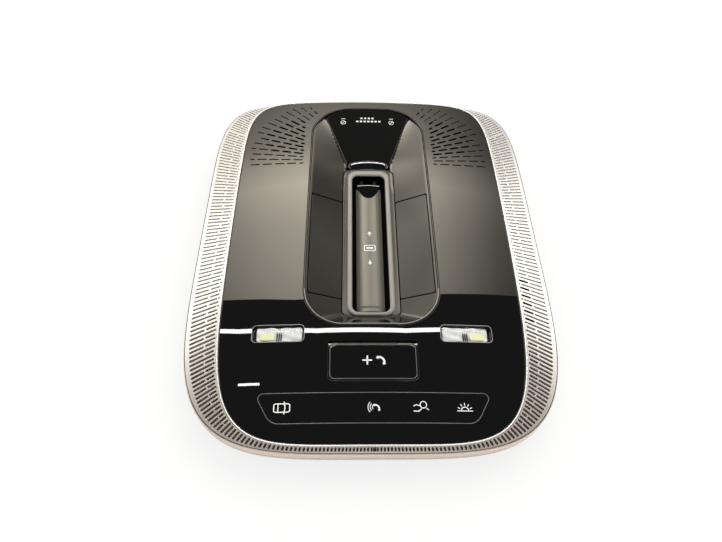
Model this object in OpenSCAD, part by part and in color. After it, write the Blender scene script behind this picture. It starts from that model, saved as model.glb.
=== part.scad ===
// Overhead console of a large saloon: interior light, reading lamps and roof switch.
// It lies on its back: +Z is the side that faces the cabin, +Y the windscreen side.

/* [Outline] */
// Half the width over the outer rim
rim_half_w = 120; // [116:0.5:124]
// Half the length over the outer rim
rim_half_l = 146.5; // [144.5:0.5:149]
// Half the width of the front panel
panel_half_w = 96; // [94:0.5:97]
// Half the length of the front panel
panel_half_l = 142.2; // [140:0.2:142.6]

/* [Front panel] */
// Height of the panel's crown above the back face
crown_z = 40; // [38:0.5:42]
// Distance of the crown from the middle of the length
crown_y = 15; // [10:1:20]
// Radius of the panel across its width
bow_w_r = 1000; // [900:50:1200]
// Radius of the panel along its length
bow_l_r = 1200; // [1150:50:1400]
// Thickness of the panel
panel_t = 2.5; // [2:0.1:2.8]

/* [Grille ring] */
// Height of the ring's outer edge
ring_edge_z = 25.8; // [25:0.1:27]
// Thickness of the ring
ring_t = 1.6; // [1.2:0.1:1.8]
// Width of one slot
slot_w = 1.1; // [0.8:0.05:1.3]
// Distance between slot rows along the sides
slot_pitch = 3.6; // [3:0.1:6]
// Angle between slot rows round the ends
slot_step = 2.0; // [1.6:0.1:3]

/* [Recess] */
// Half the width of the recess
recess_half_w = 43; // [42:0.5:44]
// Height of the recess floor
floor_z = 27; // [26.5:0.1:27.5]
// Half the width of the recess floor
floor_half_w = 19; // [18:0.5:20]
// Rise of the side walls for each millimetre outwards
wall_rise = 0.5; // [0.45:0.01:0.55]

/* [Roof switch] */
// Half the width of the switch bar
bar_half_w = 9.4; // [8:0.1:9.5]
// Height of the bar's crown
bar_top_z = 25.8; // [25:0.1:26.2]
// Travel of the bar each way
bar_travel = 2; // [1:0.1:2.2]

/* [Emergency cover] */
// Half the width of the cover
cover_half_w = 26.9; // [25:0.1:27]
// Length of the cover
cover_l = 23.9; // [22:0.1:24]
// Thickness of the cover
cover_t = 3; // [2.6:0.1:3]

/* [Housing] */
// Half the width of the rear housing
housing_half_w = 88; // [84:1:90]
// Half the length of the rear housing
housing_half_l = 118; // [116:1:120]
// Height of the rear housing
housing_h = 13.5; // [13.5:0.1:13.6]
// Radius of the fixing holes in the ears
ear_hole_r = 2.25; // [2:0.05:2.6]

/* [Hidden] */

gap = 0.15;
far = 400;

// Exponents of the outlines, which are squarer at the windscreen end
panel_n_top = 8;
panel_n_low = 5.1;
rim_n_top = 6.5;
rim_n_low = 4.3;

// Levels of the stack, from the back
carrier_z = housing_h + 0.1;
carrier_t = 2.2;
deck_z = carrier_z + carrier_t;
bead_w = 0.8;
bead_gap = 0.1;
ring_in_w = panel_half_w + bead_w + 2 * bead_gap;
ring_in_l = panel_half_l + bead_w + 2 * bead_gap;
rim_wall = 2;
rim_top_z = ring_edge_z - ring_t - 0.2;
ring_out_w = rim_half_w - 1.2;
ring_out_l = rim_half_l - 0.3;
slot_in_side = 1.4;
slot_in_end = 0.35;
slot_out_side = 2.8;
slot_out_end = 0.55;

// Recess outline: ends and corner radii
recess_low_y = -69;
recess_top_y = 132.5;
recess_low_r = 25;
recess_top_r = 30;
ramp_start_y = 76;
ramp_slope = 0.14;
end_slope = 0.9;
end_floor_y = -58.8;
recess_wall = 2.2;

display_t = 1.2;
display_low_half_w = 19.3;
display_lip_r = 1.3;

// Switch bezel and well
bezel_half_w = 15.8;
bezel_in_half_w = 12.4;
bezel_low_y = -58.6;
bezel_top_y = 68.9;
bezel_in_low_y = -56.3;
bezel_in_top_y = 64;
bezel_top_z = 28.4;
well_half_w = 14.2;
well_wall = 1.6;
well_low_y = -58.4;
well_top_y = 66.5;
bar_low_y = -54.4;
bar_top_y = 54;
nose_top_y = 60;
bar_base_z = 21.5;
carriage_z = 18.4;
carriage_half_l = 30;
rod_x = 5.2;
rod_z = 19.9;
rod_r = 1.5;

// Lamp windows beside the emergency cover
lamp_x = 58.3;
lamp_y = -75.4;
lamp_w = 31.8;
lamp_l = 10.6;
lamp_r = 2.5;

// Reading lenses on the recess walls
lens_in_x = 19.6;
lens_out_x = 41.2;
lens_low_y = -45.7;
lens_top_y = 37;
lens_t = 1.6;

// Emergency cover: middle of its length and the panel's tilt there
cover_y = -93.55;
cover_tilt = atan((crown_y - cover_y) / bow_l_r);
hinge_r = cover_t / 2;
hinge_y = cover_l / 2 - hinge_r;
pin_r = 0.8;
button_half_w = 20;
button_l = 15;

// Speakers behind the slots in the windscreen-side corners
speaker_x = 57;
speaker_y = 96;
speaker_r = 21;
fan_y = 67;
fan_step = 4.05;
fan_rows = 14;
fan_pitch = 9.4;
fan_slot = 7.7;
fan_in_x = 48;
fan_out_x = 91;
fan_top_y = 135.5;

ear_x = 97;
ear_y = 95;
ear_r = 7;
ear_t = 3;
screw_x = 62;
screw_y = 100;

function panel_z(x, y) = crown_z - x * x / (2 * bow_w_r) - pow(y - crown_y, 2) / (2 * bow_l_r);

function power(v, n) = v == 0 ? 0 : sign(v) * pow(abs(v), n);

// Point of a superellipse at angle t, squarer for y above zero
function outline_point(a, b, n_top, n_low, t) =
    let (n = sin(t) >= 0 ? n_top : n_low)
    [a * power(cos(t), 2 / n), b * power(sin(t), 2 / n)];

function outline(a, b, n_top, n_low, count = 96) =
    [for (i = [0:count - 1]) outline_point(a, b, n_top, n_low, (i + 0.5) * 360 / count)];

function panel_outline(grow = 0, count = 96) =
    outline(panel_half_w + grow, panel_half_l + grow, panel_n_top, panel_n_low, count);

function rim_outline(grow = 0, count = 96) =
    outline(rim_half_w + grow, rim_half_l + grow, rim_n_top, rim_n_low, count);

// Distance from (0, cy) along angle t to a superellipse, found by halving
function reach(a, b, n_top, n_low, cy, t, low = 0, high = 260, left = 18) =
    let (
        mid = (low + high) / 2,
        x = mid * cos(t),
        y = cy + mid * sin(t),
        n = y >= 0 ? n_top : n_low,
        inside = pow(abs(x) / a, n) + pow(abs(y) / b, n) < 1
    )
    left == 0 ? mid
    : inside ? reach(a, b, n_top, n_low, cy, t, mid, high, left - 1)
    : reach(a, b, n_top, n_low, cy, t, low, mid, left - 1);

module rounded_box(w, l, r, h) {
    corner = [w / 2 - r, l / 2 - r];
    linear_extrude(h) union() {
        square([w, 2 * corner.y], center = true);
        square([2 * corner.x, l], center = true);
        for (x = [-corner.x, corner.x], y = [-corner.y, corner.y])
            translate([x, y]) circle(r, $fn = 32);
    }
}

// Everything below the panel's surface lowered by a distance
module below_panel(drop = 0) {
    axis_z = crown_z - drop - bow_w_r;
    translate([0, crown_y, axis_z])
        rotate([0, 90, 90])
        rotate_extrude(angle = 360, $fn = 256)
        panel_section(drop);
}

// Half of the dome's section, swung about the lengthwise axis
module panel_section(drop) {
    half_l = 175;
    steps = 14;
    arc = [
        for (i = [-steps:steps])
            let (y = i * half_l / steps)
            [bow_w_r - y * y / (2 * bow_l_r), y]
    ];
    polygon(concat([[bow_w_r - 70, -half_l]], arc, [[bow_w_r - 70, half_l]]));
}

module panel_shell(top, bottom) {
    difference() {
        below_panel(top);
        below_panel(bottom);
    }
}

// A closed ring of quads from four loops: outer top, inner top, inner bottom, outer bottom
module swept_ring(loops) {
    count = len(loops[0]);
    points = concat(loops[0], loops[1], loops[2], loops[3]);
    faces = [
        for (side = [0:3], i = [0:count - 1])
            let (
                next = (i + 1) % count,
                other = (side + 1) % 4,
                a = side * count + i,
                b = side * count + next,
                c = other * count + next,
                d = other * count + i
            )
            each [[a, c, b], [a, d, c]]
    ];
    polyhedron(points, faces, convexity = 10);
}

function ring_loop(a, b, n_top, n_low, drop, flat_z, count = 96) = [
    for (i = [0:count - 1])
        let (p = outline_point(a, b, n_top, n_low, (i + 0.5) * 360 / count))
        [p.x, p.y, is_undef(flat_z) ? panel_z(p.x, p.y) - drop : flat_z]
];

module cover_frame() {
    translate([0, cover_y, panel_z(0, cover_y)]) rotate([cover_tilt, 0, 0]) children();
}

module rear_housing() {
    color("dimgray") difference() {
        union() {
            linear_extrude(housing_h)
                polygon(outline(housing_half_w, housing_half_l, 9, 7, 64));
            for (x = [-ear_x, ear_x], y = [-ear_y, ear_y]) {
                translate([x, y, 0]) cylinder(r = ear_r, h = ear_t, $fn = 48);
                translate([min(x, x * 0.86), y - ear_r, 0])
                    cube([abs(x) * 0.14, 2 * ear_r, ear_t]);
            }
        }
        translate([0, 0, 2.2]) linear_extrude(housing_h) difference() {
            polygon(outline(housing_half_w - 2.2, housing_half_l - 2.2, 9, 7, 64));
            for (x = [-screw_x, screw_x], y = [-screw_y, screw_y])
                translate([x, y]) circle(4, $fn = 32);
        }
        for (x = [-ear_x, ear_x], y = [-ear_y, ear_y])
            translate([x, y, -1]) cylinder(r = ear_hole_r, h = ear_t + 2, $fn = 48);
        for (x = [-screw_x, screw_x], y = [-screw_y, screw_y]) {
            translate([x, y, -1]) cylinder(r = 1.6, h = housing_h + 2, $fn = 32);
            translate([x, y, -1]) cylinder(r = 3.1, h = 3, $fn = 32);
        }
        translate([-20, housing_half_l - 3, 6.5]) cube([40, 6, housing_h]);
        for (i = [-4:4])
            translate([i * 14 - 3, -60, -1]) cube([6, 26, 4]);
    }
}

module carrier_frame() {
    color("gray") difference() {
        union() {
            translate([0, 0, carrier_z]) linear_extrude(carrier_t)
                polygon(rim_outline(-rim_wall - 2 * gap));
            intersection() {
                for (x = [-86, 86], y = [-58, 0, 58])
                    translate([x, y, deck_z - 0.1]) cylinder(r = 4, h = 30, $fn = 24);
                below_panel(panel_t + gap);
            }
        }
        for (x = [-screw_x, screw_x], y = [-screw_y, screw_y])
            translate([x, y, carrier_z - 1]) cylinder(r = 1.45, h = 4, $fn = 32);
        for (side = [-1, 1]) {
            translate([side * 66, -20, carrier_z - 1]) rounded_box(24, 60, 4, 4);
            translate([side * 30, -105, carrier_z - 1]) rounded_box(26, 20, 4, 4);
        }
        translate([0, 92, carrier_z - 1]) rounded_box(30, 24, 4, 4);
        translate([0, 5, carrier_z - 1]) rounded_box(12, 40, 3, 4);
    }
}

module outer_rim() {
    inner_low = rim_outline(-rim_wall);
    color("silver") difference() {
        translate([0, 0, housing_h]) linear_extrude(rim_top_z - housing_h) polygon(rim_outline());
        translate([0, 0, housing_h - 1]) linear_extrude(20) polygon(inner_low);
    }
}

module ring_slot(cy, t, inset, outset) {
    start = reach(ring_in_w, ring_in_l, panel_n_top, panel_n_low, cy, t) + inset;
    stop = reach(ring_out_w, ring_out_l, rim_n_top, rim_n_low, cy, t) - outset;
    height = crown_z;
    translate([0, cy, 0]) rotate([0, 0, t]) hull() {
        translate([start, -slot_w / 2, 10]) cube([0.1, slot_w, height]);
        translate([stop - 0.1, -slot_w / 2, 10]) cube([0.1, slot_w, height]);
    }
}

// Slots round one end, whose margins shrink towards the middle
module end_slots(centre, first, way) {
    rows = floor((90 - first) / slot_step);
    for (i = [1:rows], side = [0, 1]) {
        t = first + i * slot_step;
        blend = pow(1 - min(1, i * slot_step / 38), 2);
        inset = slot_in_end + (slot_in_side - slot_in_end) * blend;
        outset = slot_out_end + (slot_out_side - slot_out_end) * blend;
        ring_slot(centre, side == 0 ? way * t : 180 - way * t, inset, outset);
    }
}

// Rows along the sides fan out slowly, and those round the ends meet at one centre
module ring_slots() {
    side_y = 110;
    rows = floor(2 * side_y / slot_pitch);
    low_centre = -60;
    top_centre = 72;
    low_turn = atan((side_y + 12.7) / 278);
    top_turn = atan((side_y - 12.7) / 278);
    for (i = [0:rows], side = [0, 1]) {
        y = -side_y + i * slot_pitch;
        t = atan((y - 12.7) / 278);
        cy = y - rim_half_w * 0.9 * tan(t);
        ring_slot(cy, side == 0 ? t : 180 - t, slot_in_side, slot_out_side);
    }
    end_slots(low_centre, low_turn, -1);
    end_slots(top_centre, top_turn, 1);
}

module grille_ring() {
    color("gainsboro") difference() {
        swept_ring([
            ring_loop(ring_out_w, ring_out_l, rim_n_top, rim_n_low, 0, ring_edge_z),
            ring_loop(ring_in_w, ring_in_l, panel_n_top, panel_n_low, 0.3),
            ring_loop(ring_in_w, ring_in_l, panel_n_top, panel_n_low, 0.3 + ring_t),
            ring_loop(ring_out_w, ring_out_l, rim_n_top, rim_n_low, 0, ring_edge_z - ring_t)
        ]);
        ring_slots();
    }
}

// Cloth behind the slots, from under the panel's edge to the rim
module backing_cloth() {
    out_w = rim_half_w - rim_wall - 0.3;
    out_l = rim_half_l - rim_wall - 0.3;
    in_w = panel_half_w - 1;
    in_l = panel_half_l - 1;
    drop = panel_t + 0.4;
    edge_z = rim_top_z - 0.7;
    cloth_t = 0.5;
    color("saddlebrown") swept_ring([
        ring_loop(out_w, out_l, rim_n_top, rim_n_low, 0, edge_z),
        ring_loop(in_w, in_l, panel_n_top, panel_n_low, drop),
        ring_loop(in_w, in_l, panel_n_top, panel_n_low, drop + cloth_t),
        ring_loop(out_w, out_l, rim_n_top, rim_n_low, 0, edge_z - cloth_t)
    ]);
}

module trim_bead() {
    in_w = panel_half_w + bead_gap;
    in_l = panel_half_l + bead_gap;
    color("white") swept_ring([
        ring_loop(in_w + bead_w, in_l + bead_w, panel_n_top, panel_n_low, -0.1),
        ring_loop(in_w, in_l, panel_n_top, panel_n_low, -0.1),
        ring_loop(in_w, in_l, panel_n_top, panel_n_low, 2.2),
        ring_loop(in_w + bead_w, in_l + bead_w, panel_n_top, panel_n_low, 2.2)
    ]);
}

// Outline of the recess, with wide corners at the windscreen end
module recess_outline(grow = 0) {
    half_w = recess_half_w + grow;
    low_r = recess_low_r + grow;
    top_r = recess_top_r + grow;
    hull() {
        for (side = [-1, 1]) {
            translate([side * (half_w - low_r), recess_low_y - grow + low_r]) circle(low_r, $fn = 96);
            translate([side * (half_w - top_r), recess_top_y + grow - top_r]) circle(top_r, $fn = 96);
        }
    }
}

module cover_opening(grow = gap) {
    cover_frame() translate([0, 0, -8])
        rounded_box(2 * (cover_half_w + grow), cover_l + 2 * grow, 3, 20);
}

module fan_slot_cut(start, stop, t) {
    translate([0, fan_y, 0]) rotate([0, 0, t]) hull() {
        translate([start, -slot_w / 2, 20]) cube([0.1, slot_w, 30]);
        translate([stop - 0.1, -slot_w / 2, 20]) cube([0.1, slot_w, 30]);
    }
}

// The slots of both speaker fields, laid like bricks along rays
module fan_slots() {
    for (row = [0:fan_rows], k = [0:9], side = [0, 1]) {
        t = row * fan_step;
        start = fan_in_x - 3.3 + fan_pitch * (k + 0.43 * (row % 2));
        stop = start + fan_slot;
        near = [start * cos(t), fan_y + start * sin(t)];
        tip = [stop * cos(t), fan_y + stop * sin(t)];
        clear_of_recess = norm(near - [recess_half_w - recess_top_r, recess_top_y - recess_top_r])
            > recess_top_r + 7;
        in_x = near.y < 100 ? fan_in_x : 24;
        if (near.x > in_x && clear_of_recess && tip.x < fan_out_x && tip.y < fan_top_y
            && norm(tip - [60, 100]) < 46)
            fan_slot_cut(start, stop, side == 0 ? t : 180 - t);
    }
}

module front_panel() {
    color("#1c1b1a") difference() {
        intersection() {
            linear_extrude(60) polygon(panel_outline());
            panel_shell(0, panel_t);
        }
        linear_extrude(60) recess_outline(1.2);
        for (side = [-1, 1])
            translate([side * lamp_x, lamp_y, 10]) rounded_box(lamp_w, lamp_l, lamp_r, 40);
        cover_opening();
        cover_frame() for (side = [-1, 1])
            translate([side * 28.6 - 2.6, hinge_y - 2.6, -6]) cube([5.2, 5.2, 5.4]);
        fan_slots();
    }
}

// The recess as a frustum: flat floor, sloping sides, end wall and ramp
module recess_frustum(drop = 0) {
    rise = 20;
    low = floor_z - drop;
    out = drop * 0.15;
    hull() {
        translate([-floor_half_w - out, end_floor_y - out, low])
            cube([2 * (floor_half_w + out), ramp_start_y - end_floor_y + 2 * out, 0.01]);
        translate([
            -floor_half_w - rise / wall_rise - out,
            end_floor_y - rise / end_slope - out,
            low + rise
        ]) cube([
            2 * (floor_half_w + rise / wall_rise + out),
            ramp_start_y - end_floor_y + rise / end_slope + rise / ramp_slope + 2 * out,
            0.01
        ]);
    }
}

module reading_lens(side, grow = 0, deep = lens_t) {
    tilt = atan(wall_rise);
    run = (lens_out_x - lens_in_x) / cos(tilt);
    translate([side * lens_in_x, 0, floor_z + wall_rise * (lens_in_x - floor_half_w)])
        mirror([side < 0 ? 1 : 0, 0, 0]) rotate([0, -tilt, 0])
        translate([-grow, lens_low_y - grow, -deep])
        cube([run + 2 * grow, lens_top_y - lens_low_y + 2 * grow, grow > 0 ? 2 * deep : deep]);
}

// Prism over the display, which narrows towards the switch
module display_prism(grow = 0) {
    linear_extrude(60) polygon([
        [-display_low_half_w - grow, ramp_start_y - 1], [display_low_half_w + grow, ramp_start_y - 1],
        [32.5 + grow, 120], [30 + grow, 127.5], [24, 128.7 + grow],
        [-24, 128.7 + grow], [-30 - grow, 127.5], [-32.5 - grow, 120]
    ]);
}

// Slab that follows the ramp, between two depths below it
module ramp_slab(top, bottom) {
    translate([-60, ramp_start_y, floor_z]) rotate([atan(ramp_slope), 0, 0])
        translate([0, -20, -bottom]) cube([120, 110, bottom - top]);
}

module trough() {
    color("#5a524a") intersection() {
        difference() {
            recess_frustum(recess_wall);
            recess_frustum();
            for (side = [-1, 1])
                reading_lens(side, gap, 3);
            translate([0, (well_low_y + well_top_y) / 2, 10])
                rounded_box(2 * (well_half_w + gap), well_top_y - well_low_y + 2 * gap, 5, 30);
            intersection() {
                display_prism(gap);
                ramp_slab(-3, display_t + 0.1);
            }
            display_lip(gap);
        }
        translate([0, 0, 20]) linear_extrude(30) recess_outline();
        below_panel(0.05);
    }
}

// Point of the recess outline at angle t, with rounded corners
function recess_point(grow, t) =
    let (
        top = sin(t) >= 0,
        r = (top ? recess_top_r : recess_low_r) + grow,
        x = recess_half_w + grow - r,
        y = top ? recess_top_y + grow - r : recess_low_y - grow + r
    )
    [sign(cos(t)) * x + r * cos(t), y + r * sin(t)];

function recess_loop(grow, drop, count = 96) = [
    for (i = [0:count - 1])
        let (p = recess_point(grow, (i + 0.5) * 360 / count))
        [p.x, p.y, panel_z(p.x, p.y) - drop]
];

module trough_trim() {
    color("silver") swept_ring([
        recess_loop(1.1, -0.1), recess_loop(0.2, -0.1), recess_loop(0.2, 2), recess_loop(1.1, 2)
    ]);
}

// Rounded lip at the display's end next to the switch
module display_lip(grow = 0) {
    half = display_low_half_w + grow * 1.4;
    translate([-half, ramp_start_y - 1, floor_z - 0.1])
        rotate([0, 90, 0]) cylinder(r = display_lip_r + grow, h = 2 * half, $fn = 48);
}

module display_window() {
    color("black") union() {
        intersection() {
            display_prism();
            ramp_slab(-0.1, display_t);
        }
        display_lip();
    }
}

module indicator_board() {
    color("darkgreen") intersection() {
        translate([0, 104, 0]) rounded_box(40, 34, 1, 60);
        ramp_slab(recess_wall + 0.3, recess_wall + 1.5);
    }
}

module reading_lamp(side) {
    color("white") translate([side * 31, -4, 0]) {
        translate([-7, -30, 17.5]) cube([14, 60, 1.2]);
        for (i = [-1:1])
            translate([0, i * 18, 18.6]) cylinder(r1 = 3, r2 = 4.6, h = 4, $fn = 32);
    }
}

module switch_bezel() {
    mid_y = (bezel_low_y + bezel_top_y) / 2;
    in_mid_y = (bezel_in_low_y + bezel_in_top_y) / 2;
    color("#c8c6bf") difference() {
        translate([0, mid_y, floor_z + 0.05])
            rounded_box(2 * bezel_half_w, bezel_top_y - bezel_low_y, 6.5, bezel_top_z - floor_z - 0.05);
        translate([0, in_mid_y, floor_z - 1])
            rounded_box(2 * bezel_in_half_w, bezel_in_top_y - bezel_in_low_y, 4, 6);
    }
}

module switch_well() {
    mid_y = (well_low_y + well_top_y) / 2;
    length = well_top_y - well_low_y;
    base_z = deck_z + 0.1;
    color("#151515") difference() {
        translate([0, mid_y, base_z]) rounded_box(2 * well_half_w, length, 4.8, floor_z - base_z);
        translate([0, mid_y, base_z + 1.3])
            rounded_box(2 * (well_half_w - well_wall), length - 2 * well_wall, 3.2, 20);
        for (x = [-rod_x, rod_x])
            translate([x, -200, rod_z]) rotate([-90, 0, 0]) cylinder(r = rod_r, h = 400, $fn = 48);
    }
}

module crowned_bar(low_y, top_y) {
    crown_r = 18;
    intersection() {
        translate([0, (low_y + top_y) / 2, bar_base_z])
            rounded_box(2 * bar_half_w, top_y - low_y, 2.4, 10);
        translate([0, -100, bar_top_z - crown_r]) rotate([-90, 0, 0])
            cylinder(r = crown_r, h = 200, $fn = 96);
    }
}

module roof_switch() {
    color("#a0968a") difference() {
        crowned_bar(bar_low_y, bar_top_y);
        translate([0, bar_top_y - 1, bar_top_z + 1.4]) sphere(r = 8, $fn = 64);
    }
}

module switch_nose() {
    color("black") intersection() {
        translate([0, (bar_top_y + nose_top_y) / 2 + 0.05, bar_base_z])
            rounded_box(2 * bar_half_w - 2, nose_top_y - bar_top_y - 0.1, 1.5, 3.2);
        translate([0, -100, bar_top_z - 19.5]) rotate([-90, 0, 0]) cylinder(r = 18, h = 200, $fn = 96);
    }
}

module switch_carriage() {
    color("ivory") difference() {
        translate([-9, -carriage_half_l, carriage_z])
            cube([18, 2 * carriage_half_l, bar_base_z - carriage_z - 0.02]);
        for (x = [-rod_x, rod_x])
            translate([x, -200, rod_z]) rotate([-90, 0, 0]) cylinder(r = rod_r + 0.05, h = 400, $fn = 48);
    }
}

module guide_rods() {
    color("lightsteelblue") for (x = [-rod_x, rod_x])
        translate([x, well_low_y + 0.3, rod_z]) rotate([-90, 0, 0])
            cylinder(r = rod_r, h = well_top_y - well_low_y - 0.6, $fn = 48);
}

module microswitch(side) {
    face = carriage_half_l + bar_travel + 0.5;
    base_z = deck_z + 1.45;
    color("#303030") translate([0, side * (face + 2.5), base_z]) {
        translate([-3, -2, 0]) cube([6, 4, 3.6]);
        translate([0, -side * 1.9, 2.2]) rotate([90, 0, 0])
            cylinder(r = 0.8, h = 1.2, center = true, $fn = 24);
    }
}

module lamp_lens(side) {
    color([0.95, 0.95, 0.9, 0.6]) intersection() {
        translate([side * lamp_x, lamp_y, 10]) rounded_box(lamp_w - 2 * gap, lamp_l - 2 * gap, lamp_r, 40);
        panel_shell(0.05, 1.6);
    }
}

module lamp_reflector(side) {
    base_z = 20;
    color("white") translate([side * lamp_x, lamp_y, 0]) difference() {
        translate([0, 0, base_z]) rounded_box(lamp_w + 3, lamp_l + 3, 3, 10.6);
        translate([0, 0, base_z + 1.4]) rounded_box(lamp_w, lamp_l, 2, 20);
    }
}

module lamp_led(side) {
    color("gold") translate([side * (lamp_x + 5), lamp_y, 21.5]) {
        translate([-9, -4.6, 0]) cube([18, 9.2, 1]);
        translate([-2.5, -2.5, 0.9]) cube([5, 5, 1]);
    }
}

module emergency_cover() {
    barrel_half = cover_half_w - 1.9;
    notch = 1.9;
    color("#141414") cover_frame() difference() {
        union() {
            translate([0, -(hinge_r + notch) / 2, -cover_t])
                rounded_box(2 * cover_half_w, cover_l - hinge_r - notch, 3, cover_t - 0.06);
            translate([-barrel_half, 0, -cover_t])
                cube([2 * barrel_half, hinge_y, cover_t - 0.06]);
            translate([-barrel_half, hinge_y, -hinge_r]) rotate([0, 90, 0])
                cylinder(r = hinge_r - 0.06, h = 2 * barrel_half, $fn = 64);
        }
        translate([-far / 2, hinge_y, -hinge_r]) rotate([0, 90, 0])
            cylinder(r = pin_r + 0.05, h = far, $fn = 48);
    }
}

module emergency_hinge_pin() {
    color("lightsteelblue") cover_frame() translate([-30.2, hinge_y, -hinge_r]) rotate([0, 90, 0])
        cylinder(r = pin_r, h = 60.4, $fn = 48);
}

module emergency_button() {
    color("#7a1d16") cover_frame() {
        translate([0, -2.2, -6.6]) rounded_box(2 * button_half_w, button_l, 2, 2.2);
        translate([0, -2.2, -9.4]) cylinder(r = 2.4, h = 3, $fn = 48);
    }
}

module emergency_pocket() {
    color("#262626") cover_frame() difference() {
        union() {
            translate([0, -1.2, -12]) rounded_box(60, 24, 3, 8);
            for (side = [-1, 1])
                translate([side * 28.7 - 1.3, hinge_y - 2.3, -6]) cube([2.6, 4.6, 5.2]);
        }
        translate([0, -1.2, -8.2]) rounded_box(54.4, 20.6, 2, 20);
        translate([0, -2.2, -20]) cylinder(r = 2.6, h = 20, $fn = 48);
        translate([-27.4, hinge_y - 3, -3.6]) cube([54.8, 8, 10]);
        translate([-far / 2, hinge_y, -hinge_r]) rotate([0, 90, 0])
            cylinder(r = pin_r, h = far, $fn = 48);
    }
}

module touch_sensor_film() {
    color("goldenrod") intersection() {
        translate([0, -122, 0]) rounded_box(126, 15, 3, 60);
        panel_shell(panel_t + 0.15, panel_t + 0.9);
    }
}

module main_board() {
    board_z = 5;
    color("darkgreen") {
        translate([0, 0, board_z]) rounded_box(140, 190, 3, 1.6);
        for (x = [-52, 52], y = [-84, 84])
            translate([x, y, 2.25]) cylinder(r = 2.5, h = board_z - 2.2, $fn = 24);
    }
    color("#222222") {
        translate([-12, -20, board_z + 1.5]) cube([24, 24, 1.8]);
        translate([28, 20, board_z + 1.5]) cube([14, 10, 2.4]);
        translate([-44, -50, board_z + 1.5]) cube([10, 16, 3]);
        for (i = [0:3])
            translate([-46 + i * 12, 40, board_z + 1.5]) cylinder(r = 3, h = 4.5, $fn = 24);
    }
}

module main_connector() {
    base_z = 6.7;
    color("#101010") difference() {
        translate([-19.6, 96, base_z]) cube([39.2, housing_half_l - 96.4, 6.6]);
        translate([-17.8, 104, base_z + 1]) cube([35.6, 30, 4.6]);
    }
    color("gold") for (i = [-6:6])
        translate([i * 2.6 - 0.3, 103.9, base_z + 3]) cube([0.6, 6, 0.6]);
}

module speaker_frame(side) {
    color("#333333") translate([side * speaker_x, speaker_y, 0]) difference() {
        union() {
            translate([0, 0, 26]) cylinder(r = speaker_r, h = 2, $fn = 64);
            translate([0, 0, 21.2]) cylinder(r1 = 12, r2 = speaker_r - 2, h = 5, $fn = 64);
        }
        translate([0, 0, 22.4]) cylinder(r1 = 11, r2 = speaker_r - 3, h = 5.61, $fn = 64);
        translate([0, 0, 20]) cylinder(r = 8, h = 20, $fn = 64);
    }
}

module speaker_cone(side) {
    color("#1a1a1a") translate([side * speaker_x, speaker_y, 0]) difference() {
        translate([0, 0, 23.6]) cylinder(r1 = 8.6, r2 = 15.5, h = 3.6, $fn = 64);
        translate([0, 0, 24.2]) cylinder(r1 = 8.4, r2 = 15.4, h = 3.61, $fn = 64);
    }
}

module speaker_magnet(side) {
    color("silver") translate([side * speaker_x, speaker_y, deck_z + 0.1]) {
        cylinder(r = 11, h = 5.2, $fn = 64);
        cylinder(r = 6, h = 7.4, $fn = 64);
    }
}

module microphone() {
    color("#202020") translate([103.5, -47, deck_z + 0.1]) {
        translate([-4, -16, 0]) cube([8, 32, 3]);
        for (y = [-9, 9])
            translate([0, y, 2.9]) cylinder(r = 2.6, h = 4, $fn = 32);
    }
}

module housing_screws() {
    color("silver") for (x = [-screw_x, screw_x], y = [-screw_y, screw_y])
        translate([x, y, 0]) difference() {
            union() {
                translate([0, 0, 0.3]) cylinder(r = 2.9, h = 1.65, $fn = 32);
                translate([0, 0, 1.9]) cylinder(r = 1.4, h = 13.6, $fn = 32);
            }
            translate([-2, -0.35, 0]) cube([4, 0.7, 0.9]);
            translate([-0.35, -2, 0]) cube([0.7, 4, 0.9]);
        }
}

// Spring clips on the housing's side walls
module retaining_clips() {
    color("steelblue") for (side = [-1, 1], y = [-55, 55])
        translate([side * (housing_half_w + 0.1), y - 6, 0]) mirror([side < 0 ? 1 : 0, 0, 0])
            translate([0, 12, 0]) rotate([90, 0, 0]) linear_extrude(12) polygon([
                [0, 3], [0.8, 3], [0.8, 9.6], [3.6, 6.8], [4.2, 7.4], [1.2, 12.8], [0, 12.8]
            ]);
}

rear_housing();
carrier_frame();
outer_rim();
grille_ring();
backing_cloth();
trim_bead();
front_panel();
trough();
trough_trim();
display_window();
indicator_board();
reading_lens(-1);  // reading_lens_left
reading_lens(1);  // reading_lens_right
reading_lamp(-1);  // reading_lamp_left
reading_lamp(1);  // reading_lamp_right
switch_bezel();
switch_well();
roof_switch();
switch_nose();
switch_carriage();
guide_rods();
microswitch(1);  // microswitch_front
microswitch(-1);  // microswitch_rear
lamp_lens(-1);  // lamp_lens_left
lamp_lens(1);  // lamp_lens_right
lamp_reflector(-1);  // lamp_reflector_left
lamp_reflector(1);  // lamp_reflector_right
lamp_led(-1);  // lamp_led_left
lamp_led(1);  // lamp_led_right
emergency_cover();
emergency_button();
emergency_pocket();
emergency_hinge_pin();
touch_sensor_film();
main_board();
main_connector();
speaker_frame(-1);  // speaker_frame_left
speaker_frame(1);  // speaker_frame_right
speaker_cone(-1);  // speaker_cone_left
speaker_cone(1);  // speaker_cone_right
speaker_magnet(-1);  // speaker_magnet_left
speaker_magnet(1);  // speaker_magnet_right
microphone();
housing_screws();
retaining_clips();
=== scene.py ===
"""Looks of the overhead console: glossy panel, slotted silver ring, recess with lenses and switch."""

import math
import bpy
import numpy as np
from mathutils import Matrix, Vector
from mathutils.geometry import delaunay_2d_cdt
from mathutils.kdtree import KDTree


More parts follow.
